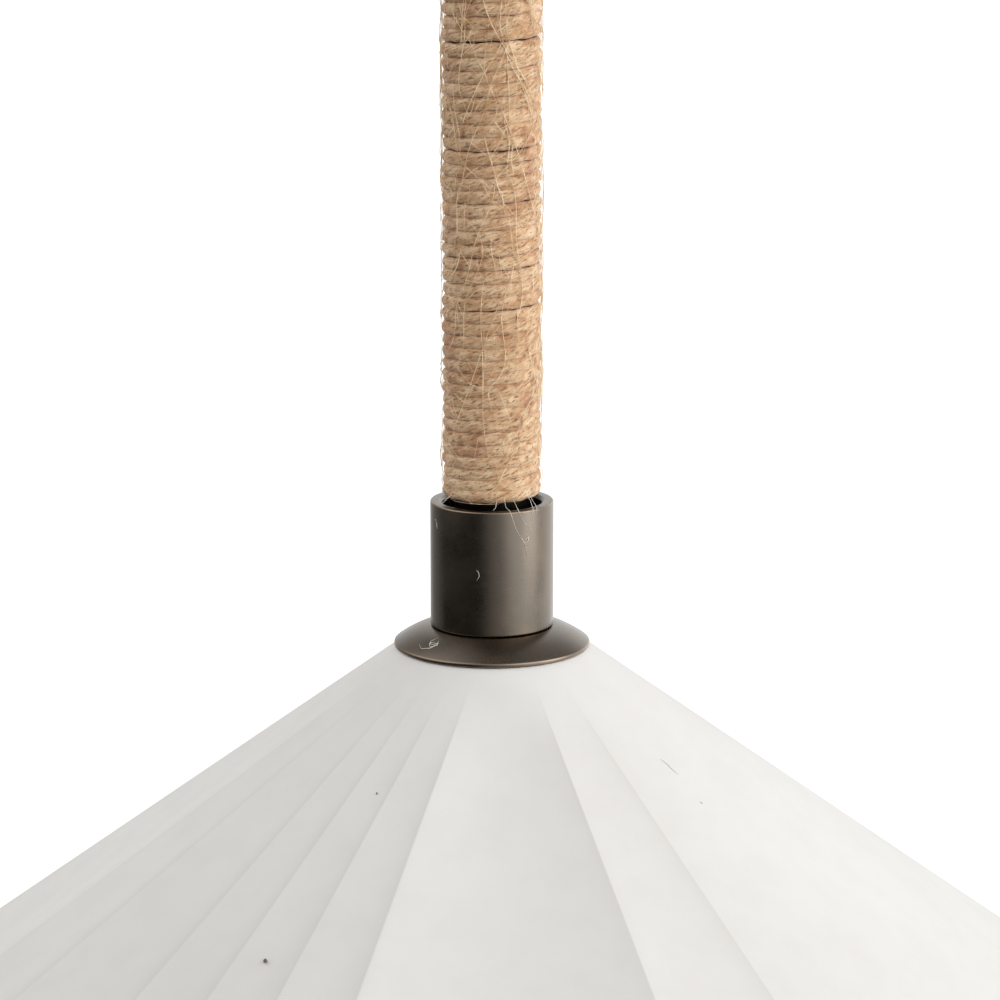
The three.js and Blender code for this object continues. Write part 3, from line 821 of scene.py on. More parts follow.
def install(
    piece: bpy.types.Object,
    body: Body | None,
    slot: Slot,
    finishes: Finishes,
    *nodes: str,
    material: bpy.types.Material | None = None,
) -> bpy.types.Object:
    """Give a piece its finish and its place in the lamp.

    Args:
        piece: the finished mesh.
        body: the body it rides on, or nothing, which leaves the piece attached to no body.
        slot: the record's slot it takes its finish from.
        finishes: the materials.
        nodes: the frame nodes it stands for.
        material: a material in place of the slot's own.

    Returns:
        The piece.
    """
    piece.data.materials.clear()
    piece.data.materials.append(material or finishes.slots[slot])
    if body:
        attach(piece, body.value)
    if nodes:
        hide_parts(*nodes)
    LOG.info("%s: %d faces", piece.name, len(piece.data.polygons))
    return piece


def install_refined(
    node: str,
    edge: float,
    body: Body,
    slot: Slot,
    finishes: Finishes,
    material: bpy.types.Material | None = None,
) -> bpy.types.Object:
    """Finish a frame node that keeps its own shape, with its edges rounded.

    Args:
        node: the node.
        edge: the rounding's width in metres.
        body: the body it rides on.
        slot: the record's slot it takes its finish from.
        finishes: the materials.
        material: a material in place of the slot's own.

    Returns:
        The piece.
    """
    return install(refined(node, edge), body, slot, finishes, node, material=material)


# ---------------------------------------------------------------- canopy


@dataclass
class Canopy:
    """The ceiling cover with its bar, studs, knobs, wiring and the nipple that carries the swivel."""

    finishes: Finishes
    wall: float = 1.5 * MM
    corner: float = 13 * MM
    stud_hole: float = 2.3 * MM
    edge: float = 0.35 * MM

    def build(self) -> None:
        """Make every piece of the canopy."""
        self._cover()
        for side in SIDES:
            self._knob(side)
        self._hardware()
        self._wiring()

    def _cover(self) -> None:
        """Spin the bowl, roll its rim and drill it for the studs."""
        extent = Extent.of("canopy_shell")
        radius, floor = extent.radius, extent.bottom
        centre_r, centre_z = radius - self.corner, floor + self.corner
        bend = [math.radians(angle) for angle in range(-90, 1, 6)]
        inner = self.corner - self.wall
        outline = [
            (NIPPLE_HOLE, floor),
            *((centre_r + self.corner * math.cos(a), centre_z + self.corner * math.sin(a)) for a in bend),
            (radius, -self.edge),
            (radius - self.edge, 0),
            (radius - self.wall + self.edge, 0),
            (radius - self.wall, -self.edge),
            *((centre_r + inner * math.cos(a), centre_z + inner * math.sin(a)) for a in reversed(bend)),
            (NIPPLE_HOLE, floor + self.wall),
            (NIPPLE_HOLE, floor),
        ]
        cover = turn_outline("canopy_cover", outline, 144)
        for side in SIDES:
            middle = Extent.of(f"canopy_stud_{side}").middle
            above = Vector((middle.x, 0, floor + 3 * self.wall))
            below = Vector((middle.x, 0, floor - self.wall))
            carve(cover, rod(self.stud_hole, below, above))
        smooth(cover)
        install(cover, Body.CEILING, Slot.BRONZE, self.finishes, "canopy_shell")

    def _knob(self, side: str) -> None:
        """Spin one domed cap nut with a waist and a blind bore."""
        extent = Extent.of(f"canopy_knob_{side}")
        radius, seat, tip = extent.radius, extent.top, extent.bottom
        height = seat - tip
        dome = [math.radians(angle) for angle in range(-90, 1, 9)]
        crown = 0.42 * height
        outline = [
            *((0.86 * radius * math.cos(a), tip + crown + crown * math.sin(a)) for a in dome),
            (0.80 * radius, tip + 0.52 * height),
            (radius, tip + 0.62 * height),
            (radius, seat - 0.12 * height),
            (0.93 * radius, seat),
            (self.stud_hole, seat),
            (self.stud_hole, seat - 0.75 * height),
            (0, seat - 0.75 * height),
        ]
        outline[0] = (0, tip)
        knob = turn_outline(f"cap_nut_{side}", outline, 64)
        pick(knob)
        bpy.ops.transform.translate(value=(extent.middle.x, 0, 0))
        settle(knob)
        install(knob, Body.CEILING, Slot.BRONZE, self.finishes, f"canopy_knob_{side}")

    def _hardware(self) -> None:
        """Finish the bar, nuts, studs and screws that the cover hides."""
        steel = ["mounting_bar", "canopy_washer", "canopy_nut", "canopy_nipple", "swivel_nut"]
        for side in SIDES:
            steel += [f"canopy_stud_{side}", f"stud_nut_{side}"]
        for node in steel:
            install_refined(node, 0.2 * MM, Body.CEILING, Slot.STEEL, self.finishes)
        screw = refined("ground_screw", 0.2 * MM)
        extent = Extent.of("ground_screw")
        low = extent.bottom - MM
        slot = block(
            (extent.low.x - MM, -0.5 * MM, low),
            (extent.high.x + MM, 0.5 * MM, extent.bottom + 0.8 * MM),
        )
        carve(screw, slot)
        install(smooth(screw), Body.CEILING, Slot.GREEN_SLEEVE, self.finishes, "ground_screw")

    def _wiring(self) -> None:
        """Finish the cable, its three leads and the two ribbed wire caps."""
        for pole, slot in (("line", Slot.BLACK_SLEEVE), ("neutral", Slot.WHITE_SLEEVE)):
            self._wire_cap(pole)
            lead = soft_copy(f"{pole}_lead")
            install(lead, Body.CEILING, slot, self.finishes, f"{pole}_lead")
        ground = soft_copy("ground_lead")
        install(ground, Body.CEILING, Slot.GREEN_SLEEVE, self.finishes, "ground_lead")
        install_refined("canopy_cable", 0.3 * MM, Body.CEILING, Slot.BLACK_SLEEVE, self.finishes)

    def _wire_cap(self, pole: str) -> None:
        """Spin one twist-on cap, press ribs into its sides and lay it along X.

        Args:
            pole: line or neutral.
        """
        extent = Extent.of(f"wire_cap_{pole}")
        length = extent.high.x - extent.low.x
        radius = (extent.high.z - extent.low.z) / 2
        bore = 4 * MM
        outline = fillet(
            [
                (0, 0.7 * length),
                (bore * 0.7, 0.66 * length),
                (bore, 0.25 * length),
                (bore, 0),
                (radius, 0),
                (radius, 0.12 * length),
                (0.9 * radius, 0.2 * length),
                (0.8 * radius, 0.92 * length),
                (0.6 * radius, length),
                (0, length),
            ],
            0.5 * MM,
            3,
        )
        cap = turn_outline(f"twist_cap_{pole}", outline, 72)
        points = vertices_of(cap)
        around = np.arctan2(points[:, 1], points[:, 0])
        reach = np.hypot(points[:, 0], points[:, 1])
        side = smoothstep(points[:, 2], 0.2 * length, 0.3 * length)
        side *= (reach > 0.7 * radius) * (1 - smoothstep(points[:, 2], 0.85 * length, 0.92 * length))
        swell = 1 + 0.05 * side * np.cos(12 * around)
        points[:, 0] *= swell
        points[:, 1] *= swell
        placed = np.stack([points[:, 2] + extent.low.x, points[:, 1], -points[:, 0]], axis=1)
        placed += np.array([0, extent.middle.y, extent.middle.z])
        set_vertices(cap, placed)
        install(cap, Body.CEILING, Slot.WIRE_CAP, self.finishes, f"wire_cap_{pole}")


def mark_points(piece: bpy.types.Object, name: str, values: Array) -> None:
    """Store one number for each vertex, for a material to read.

    Args:
        piece: the piece.
        name: the attribute's name.
        values: the numbers.
    """
    layer = piece.data.attributes.new(name, "FLOAT", "POINT")
    layer.data.foreach_set("value", values.astype(np.float32))


def mark_rubbed_edges(piece: bpy.types.Object, sharp: float = 9.0, full: float = 22.0) -> None:
    """Mark the outward edges, where a dark finish rubs through.

    Args:
        piece: the finished piece, with rounded edges.
        sharp: the bend in degrees at which wear begins.
        full: the bend at which it is complete.
    """
    mesh = piece.data
    points = vertices_of(piece)
    rubbed = np.zeros(len(points))
    by_edge: dict[tuple[int, int], list[bpy.types.MeshPolygon]] = {}
    for face in mesh.polygons:
        for key in face.edge_keys:
            by_edge.setdefault(key, []).append(face)
    for (first, second), faces in by_edge.items():
        if len(faces) != 2:
            continue
        bend = math.degrees(faces[0].normal.angle(faces[1].normal, 0.0))
        outward = (faces[1].center - faces[0].center).dot(faces[0].normal) < 0
        if outward and bend > sharp:
            amount = min(1.0, (bend - sharp) / (full - sharp))
            rubbed[first] = max(rubbed[first], amount)
            rubbed[second] = max(rubbed[second], amount)
    mark_points(piece, "rubbed", rubbed)


def vertices_of(piece: bpy.types.Object) -> Array:
    """A copy of a piece's vertices, as rows of 3."""
    points = np.empty(len(piece.data.vertices) * 3, dtype=np.float32)
    piece.data.vertices.foreach_get("co", points)
    return points.reshape(-1, 3).astype(np.float64)


def set_vertices(piece: bpy.types.Object, points: Array) -> None:
    """Move a piece's vertices to new places."""
    piece.data.vertices.foreach_set("co", points.astype(np.float32).ravel())
    piece.data.update()


def smoothstep(value: Array, low: float, high: float) -> Array:
    """Ease from 0 at low to 1 at high."""
    share = np.clip((value - low) / (high - low), 0, 1)
    return share * share * (3 - 2 * share)


def soft_copy(node: str) -> bpy.types.Object:
    """A merged copy of a lead, rounded by one subdivision.

    Args:
        node: the lead's node.

    Returns:
        The copy.
    """
    piece = merged_copy(node)
    bpy.ops.mesh.tris_convert_to_quads()
    bpy.ops.object.mode_set(mode="OBJECT")
    apply_modifier(piece, "SUBSURF", levels=1, render_levels=1)
    return smooth(piece, 60.0)


# ---------------------------------------------------------------- swivel


@dataclass
class Swivel:
    """The fork that turns under the canopy, the hollow barrel that tilts in it, and the cable's bend."""

    finishes: Finishes
    edge: float = 0.45 * MM
    cable: float = 2.6 * MM

    def build(self) -> None:
        """Make every piece of the swivel."""
        install_refined("swivel_fork", self.edge, Body.FORK, Slot.BRONZE, self.finishes)
        install_refined("swivel_barrel", self.edge, Body.STEM, Slot.BRONZE, self.finishes)
        for side in SIDES:
            self._pivot(side)
        self._bend()

    def _pivot(self, side: str) -> None:
        """Finish one pivot screw and saw its slot.

        Args:
            side: left or right.
        """
        extent = Extent.of(f"pivot_screw_{side}")
        screw = refined(f"pivot_screw_{side}", 0.25 * MM)
        sign = -1 if side == "left" else 1
        face = extent.high.x if sign > 0 else extent.low.x
        depth = 0.9 * MM
        inner, outer = sorted((face - sign * depth, face + sign * depth))
        low = Vector((inner, -0.55 * MM, extent.low.z - MM))
        high = Vector((outer, 0.55 * MM, extent.high.z + MM))
        carve(screw, block(low, high))
        install(smooth(screw), Body.STEM, Slot.STEEL, self.finishes, f"pivot_screw_{side}")

    def _bend(self) -> None:
        """Sweep the short free length of cable as a straight tube on no body; in the real lamp it bends as
        the barrel tilts.
        """
        extent = Extent.of("knuckle_cable")
        start = extent.top + 0.3 * MM
        end = extent.bottom - 5 * MM
        heights = np.linspace(start, end, 25)
        around = np.linspace(0, FULL_TURN, 24, endpoint=False)
        rows = np.stack(
            [
                np.stack([self.cable * np.cos(around), self.cable * np.sin(around), np.full(24, z)], axis=1)
                for z in heights[::-1]
            ]
        )
        bend = grid_mesh("cable_bend", rows)
        install(bend, None, Slot.BLACK_SLEEVE, self.finishes, "knuckle_cable")
        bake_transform(bend)


# ---------------------------------------------------------------- stem


@dataclass
class Stem:
    """The pipe with its threaded inserts, the cable inside it and a bronze collar at each end."""

    finishes: Finishes
    wall: float = 3.2 * MM
    floor: float = 3.0 * MM
    edge: float = 0.4 * MM
    mouth_ease: float = 0.7 * MM

    def build(self) -> None:
        """Make every piece of the stem but its wrap."""
        self._collar("lower_collar", mouth_up=True)
        self._collar("upper_collar", mouth_up=False)
        bronze = self.finishes.bronze
        install_refined("stem_pipe", 0.2 * MM, Body.STEM, Slot.STEEL, self.finishes, bronze)
        for node in ("upper_bushing", "lower_bushing", "lower_nipple"):
            install_refined(node, 0.25 * MM, Body.STEM, Slot.STEEL, self.finishes)
        install_refined("stem_cable", 0.3 * MM, Body.STEM, Slot.BLACK_SLEEVE, self.finishes)

    def _collar(self, node: str, mouth_up: bool) -> None:
        """Spin one collar: a cup with a drilled floor and softened rims.

        Args:
            node: the collar's node.
            mouth_up: whether its mouth is at the top.
        """
        extent = Extent.of(node)
        radius, bore = extent.radius, extent.radius - self.wall
        mouth, base = (extent.top, extent.bottom) if mouth_up else (extent.bottom, extent.top)
        inward = 1 if mouth_up else -1
        outline = closed_fillet(
            [
                (NIPPLE_HOLE, base),
                (radius, base),
                (radius, mouth),
                (bore + self.mouth_ease, mouth),
                (bore, mouth - inward * self.mouth_ease),
                (bore, base + inward * self.floor),
                (NIPPLE_HOLE, base + inward * self.floor),
                (NIPPLE_HOLE, base),
            ],
            self.edge,
            5,
        )
        collar = turn_outline(f"{node}_cup", outline, 192)
        mark_rubbed_edges(collar)
        install(collar, Body.STEM, Slot.BRONZE, self.finishes, node)


@dataclass
class TwineWrap:
    """Two-ply jute twine wound in one layer on the stem, with its loose fibres."""

    finishes: Finishes
    reach: float = 1.78 * MM
    waist: float = 1.40 * MM
    flat: float = 0.80
    sag: float = 0.8 * MM
    gap_shade_bed: float = 0.55 * MM
    ply_turn: float = 12.5 * MM
    pitch: float = 3.38 * MM
    tight_pitch: float = 3.1 * MM
    tight_height: float = 40 * MM
    steps_per_turn: int = 84
    sides: int = 16
    sections: int = 4
    fuzz_count: int = 2300
    stray_count: int = 1500
    long_count: int = 420
    seed: int = 11

    def build(self) -> None:
        """Wind the twine and scatter its fibres."""
        self.extent = Extent.of("jute_wrap")
        self.low = self.extent.bottom - self.sag
        self.random = np.random.default_rng(self.seed)
        self.core = self.extent.radius - self.reach * self.flat
        self._gap_shade_bed()
        self._wind()
        self._scatter()

    def _gap_shade_bed(self) -> None:
        """Spin the inner face of the twine, which shows in the gaps between its turns; its dark brown is
        painted shade in those gaps.
        """
        bore = Extent.of("stem_pipe").radius + 0.1 * MM
        reach, inset = bore + self.gap_shade_bed, self.waist
        low, high = self.extent.bottom + inset, self.extent.top - inset
        outline = [(bore, low), (reach, low), (reach, high), (bore, high), (bore, low)]
        gap_shade_bed = turn_outline("twine_gap_shade", outline, 96)
        install(gap_shade_bed, Body.STEM, Slot.JUTE, self.finishes, material=self.finishes.gap_shade_bed)

    def _turns(self) -> tuple[Array, Array]:
        """The winding's angle and height at each step, from the bottom up; it starts level at the back."""
        step = FULL_TURN / self.steps_per_turn
        low = self.low + self.waist
        high = self.extent.top - self.waist
        angles, heights = [math.pi], [low]
        while heights[-1] < high:
            begun = smoothstep(np.array(angles[-1] - math.pi), 0.6 * math.pi, 2.2 * math.pi)
            loose = smoothstep(np.array(heights[-1] - low), self.tight_height * 0.8, self.tight_height * 1.3)
            pitch = self.tight_pitch + (self.pitch - self.tight_pitch) * float(loose)
            pitch *= 0.2 + 0.8 * float(begun)
            heights.append(heights[-1] + pitch / self.steps_per_turn)
            angles.append(angles[-1] + step)
        return np.array(angles), np.array(heights)

    def _ripple(self, angles: Array, waves: int, fastest: float) -> Array:
        """A smooth seeded waver about 0, of size about 1.

        Args:
            angles: where it is read.
            waves: how many waves are added.
            fastest: the quickest of them, in waves per turn.

        Returns:
            The waver at each angle.
        """
        total = np.zeros_like(angles)
        for _ in range(waves):
            rate = self.random.uniform(0.07, fastest)
            total += np.sin(rate * angles + self.random.uniform(0, FULL_TURN))
        return total / math.sqrt(waves / 2)

    def _wind(self) -> None:
        """Sweep the two-lobed strand up the stem, in sections that meet end to end."""
        angles, heights = self._turns()
        sink = smoothstep(angles, angles[0], angles[0] + 1.2)
        sink *= 1 - smoothstep(angles, angles[-1] - 1.2, angles[-1])
        core = self.core + 0.08 * MM * self._ripple(angles, 9, 1.9)
        core -= (1 - sink) * 0.7 * MM
        heights = heights + 0.13 * MM * self._ripple(angles, 9, 1.3) * sink
        size = 1 + 0.06 * self._ripple(angles, 9, 3.1)
        outward = np.stack([np.sin(angles), -np.cos(angles), np.zeros_like(angles)], axis=1)
        upward = np.tile([0.0, 0.0, 1.0], (len(angles), 1))
        centre = outward * core[:, None] + upward * heights[:, None]
        travelled = np.concatenate([[0], np.cumsum(np.linalg.norm(np.diff(centre, axis=0), axis=1))])
        twist = travelled * FULL_TURN / self.ply_turn + 0.35 * self._ripple(angles, 7, 1.2)
        around = np.linspace(0, FULL_TURN, self.sides, endpoint=False)
        lobe = np.abs(np.cos(around[None, :] - twist[:, None])) ** 0.75
        radius = (self.waist + (self.reach - self.waist) * lobe) * size[:, None]
        across = np.cos(around)[None, :] * radius * self.flat
        along = np.sin(around)[None, :] * radius * 1.08
        points = centre[:, None] + outward[:, None] * across[..., None] + upward[:, None] * along[..., None]
        points[..., 2] = np.clip(points[..., 2], self.low, self.extent.top)
        closing = np.linspace(0, FULL_TURN, self.sides + 1)
        uv = np.stack(
            [
                np.repeat((travelled / MM)[:, None], self.sides + 1, axis=1),
                (closing[None, :] - twist[:, None] * 0.4) / FULL_TURN,
            ],
            axis=-1,
        )
        cuts = np.linspace(0, len(angles) - 1, self.sections + 1).astype(int)
        for number, (start, end) in enumerate(pairwise(cuts)):
            name = f"twine_{number + 1}"
            part = grid_mesh(name, points[start : end + 1, ::-1], uv=uv[start : end + 1, ::-1])
            nodes = ("jute_wrap",) if number == 0 else ()
            install(part, Body.STEM, Slot.JUTE, self.finishes, *nodes)
        LOG.info("twine wound: %.2f m", travelled[-1])

    def _fibre(
        self, angle: float, height: float, lean: float, length: float, lift: float, bow: float
    ) -> Array:
        """Points of one loose fibre that lies over the wrap.

        Args:
            angle: where it starts, round the stem.
            height: where it starts.
            lean: its direction from upright, in radians.
            length: its length.
            lift: how far its middle stands off.
            bow: how much it curves sideways.

        Returns:
            Its points, as rows of 3.
        """
        count = max(4, min(20, int(length / (2.0 * MM))))
        share = np.linspace(0, 1, count)
        turn = lean + bow * (share - 0.5) * 2 + 0.6 * bow * np.sin(share * 9.0 + 40 * bow)
        step = length / (count - 1)
        rise = np.concatenate([[0], np.cumsum(np.cos(turn[:-1]) * step)])
        drift = np.concatenate([[0], np.cumsum(np.sin(turn[:-1]) * step)])
        off = self.extent.radius + lift * np.sin(share * math.pi) ** 0.8 + 0.05 * MM
        heights = np.clip(height + rise, self.low, self.extent.top)
        place = angle + drift / self.extent.radius
        return np.stack([off * np.sin(place), -off * np.cos(place), heights], axis=1)

    def _tuft(self, angle: float, height: float) -> Array:
        """Points of one short hair that springs out of the wrap."""
        length = self.random.uniform(1.2, 4.0) * MM
        count = 5
        share = np.linspace(0, 1, count)
        off = self.extent.radius - 0.3 * MM + length * self.random.uniform(0.15, 0.55) * share**0.8
        sweep = self.random.normal(0, 0.8) * length * share * (0.5 + 0.5 * share)
        rise = self.random.normal(0, 0.6) * length * share
        place = angle + sweep / self.extent.radius
        heights = np.clip(height + rise, self.low, self.extent.top)
        return np.stack([off * np.sin(place), -off * np.cos(place), heights], axis=1)

    def _scatter(self) -> None:
        """Lay short hairs, middling fibres and a few long ones over the twine."""
        low, high = self.low, self.extent.top
        random = self.random
        hairs = []
        for _ in range(self.fuzz_count):
            path = self._tuft(random.uniform(0, FULL_TURN), random.uniform(low, high))
            hairs.append((path, random.uniform(0.03, 0.055) * MM))
        for _ in range(self.stray_count):
            length = random.uniform(4, 15) * MM
            lean = random.normal(0.5, 0.9)
            lift = random.uniform(0.1, 0.55) * MM
            start = (random.uniform(0, FULL_TURN), random.uniform(low, high - length * 0.5))
            path = self._fibre(*start, lean, length, lift, random.normal(0, 0.5))
            hairs.append((path, random.uniform(0.06, 0.105) * MM))
        for _ in range(self.long_count):
            length = random.uniform(18, 55) * MM
            lean = random.normal(0.12, 0.30)
            lift = random.uniform(0.05, 0.5) * MM
            start = (random.uniform(0, FULL_TURN), random.uniform(low, high - length))
            path = self._fibre(*start, lean, length, lift, random.normal(0, 0.5))
            hairs.append((path, random.uniform(0.07, 0.13) * MM))
        split = self.fuzz_count
        gold, pale = self.finishes.fibre, self.finishes.hair
        bundles = {
            "twine_fuzz": hairs[:split],
            "twine_fibres": hairs[split:],
            "loose_hairs": self._danglers(),
        }
        for name, bundle in bundles.items():
            fibres = tube_bundle(name, bundle)
            material = pale if name == "loose_hairs" else gold
            install(fibres, Body.STEM, Slot.JUTE, self.finishes, material=material)

    def _danglers(self) -> list[tuple[Array, float]]:
        """Fibres that hang from the wrap's end over the lower collar, as paths and radii."""
        collar = Extent.of("lower_collar")
        wrap, clear = self.extent.radius, collar.radius + 0.12 * MM
        rim = collar.top
        flange = collar.bottom - rim
        routes = [
            [(14, wrap, 4.0), (15, wrap + MM, 1.0), (17, clear, 0.3), (22, clear, -4.0), (30, clear, -8.2)],
            [(28, clear, -6.4), (31, clear, -8.3), (35, clear, -8.0), (36, clear, -6.8), (32, clear, -7.4)],
            [(24, wrap, 3.2), (25, clear, 0.4), (31, clear, -3.0), (41, clear, -5.6)],
            [(27, clear, -6.0), (33, clear, -9.5), (35, clear, -12.0)],
            [(40, wrap, 5.0), (43, wrap + 1.6 * MM, 2.2), (41, clear, 0.3), (40, clear, -1.8)],
            [(46, wrap, 4.0), (50, wrap + 1.2 * MM, 1.4), (46, clear, 0.3), (45, clear, -1.0)],
            [(-52, wrap, 3.4), (-56, wrap + 1.5 * MM, 1.6), (-59, wrap + 2.4 * MM, 0.5)],
            [(6, wrap, 2.6), (4, wrap + 1.3 * MM, 0.9), (1, wrap + 2.2 * MM, 0.4)],
            [(-14, clear, -15.0), (-12, clear, -15.6), (-11.5, clear, -16.6), (-14, clear, -17.8)],
            [(-65, clear, -3.5), (-62, clear, -4.6), (-61, clear, -6.0)],
            [(150, wrap, 3.5), (155, clear, 0.4), (160, clear, -4.5)],
        ]
        curl = [(-47, 19.0), (-50, 20.6), (-46, 21.6), (-42, 20.4), (-44, 22.6), (-50, 23.6), (-56, 22.4)]
        loop = [(-44, 19.6), (-41, 21.2), (-45, 22.4), (-49, 21.2), (-45, 20.4)]
        for coil in (curl, loop):
            routes.append([(a, r * MM, flange / MM - 0.92 - (r - 19.0) * 0.506) for a, r in coil])
        made = []
        for route in routes:
            corners = np.array([(math.radians(a), r, rim + h * MM) for a, r, h in route])
            share = np.linspace(0, 1, 4 * len(route))
            places = [np.interp(share, np.linspace(0, 1, len(route)), column) for column in corners.T]
            angle, reach, height = places
            path = np.stack([reach * np.sin(angle), -reach * np.cos(angle), height], axis=1)
            made.append((path, 0.06 * MM))
        return made


def tube_bundle(name: str, paths: list[tuple[Array, float]], sides: int = 3) -> bpy.types.Object:
    """Many thin tapered tubes in one mesh.

    Args:
        name: the piece's name.
        paths: each tube's points and its radius.
        sides: sides of each tube.

    Returns:
        The piece.
    """
    points: list[Array] = []
    faces: list[list[int]] = []
    base = 0
    around = np.linspace(0, FULL_TURN, sides, endpoint=False)
    for path, radius in paths:
        along = np.gradient(path, axis=0)
        along /= np.linalg.norm(along, axis=1)[:, None] + 1e-12
        side = np.cross(along, [0.31, 0.17, 0.93])
        side /= np.linalg.norm(side, axis=1)[:, None] + 1e-12
        other = np.cross(along, side)
        taper = radius * (1 - 0.75 * np.abs(np.linspace(-1, 1, len(path))) ** 3)
        ring = side[:, None] * np.cos(around)[None, :, None] + other[:, None] * np.sin(around)[None, :, None]
        tube = path[:, None] + ring * taper[:, None, None]
        points.append(tube.reshape(-1, 3))
        index = base + np.arange(len(path) * sides).reshape(len(path), sides)
        ahead = np.roll(index, -1, axis=1)
        quads = np.stack([index[:-1], ahead[:-1], ahead[1:], index[1:]], axis=-1).reshape(-1, 4)
        faces += quads.tolist()
        faces += [index[0][::-1].tolist(), index[-1].tolist()]
        base += len(path) * sides
    mesh = bpy.data.meshes.new(name)
    mesh.from_pydata(np.concatenate(points), [], faces)
    mesh.polygons.foreach_set("use_smooth", np.ones(len(mesh.polygons), dtype=bool))
    piece = bpy.data.objects.new(name, mesh)
    bpy.context.scene.collection.objects.link(piece)
    return piece


# ---------------------------------------------------------------- saucer and shade


@dataclass
class Saucer:
    """The spun bronze flange that covers the top of the shade, and the clamp below it."""

    finishes: Finishes
    lip: float = 0.9 * MM
    wall: float = 1.2 * MM
    crown: float = 16.0 * MM
    bulge: float = 0.6 * MM

    def build(self) -> None:
        """Make the saucer, its gasket and the clamp."""
        extent = Extent.of("saucer_flange")
        rim, top, radius = extent.bottom, extent.top, extent.radius
        drop = top - rim - self.lip
        shares = np.linspace(0, 1, 13)
        slope = [
            (self.crown + (radius - self.crown) * s, top - drop * s + self.bulge * 4 * s * (1 - s))
            for s in shares
        ]
        under = [(r - 0.4 * self.wall, z - self.wall) for r, z in slope if z - self.wall > rim + 0.2 * MM]
        outline = closed_fillet(
            [
                (radius - self.wall, rim),
                (radius, rim),
                *reversed(slope),
                (NIPPLE_HOLE, top),
                (NIPPLE_HOLE, top - self.wall),
                *under,
                (radius - self.wall, rim),
            ],
            0.3 * MM,
            3,
        )
        saucer = turn_outline("saucer_cover", outline, 192)
        mark_rubbed_edges(saucer)
        install(saucer, Body.STEM, Slot.BRONZE, self.finishes, "saucer_flange")
        install_refined("neck_gasket", 0.3 * MM, Body.STEM, Slot.RUBBER, self.finishes)
        for node in ("clamp_washer", "clamp_nut"):
            install_refined(node, 0.3 * MM, Body.STEM, Slot.STEEL, self.finishes)


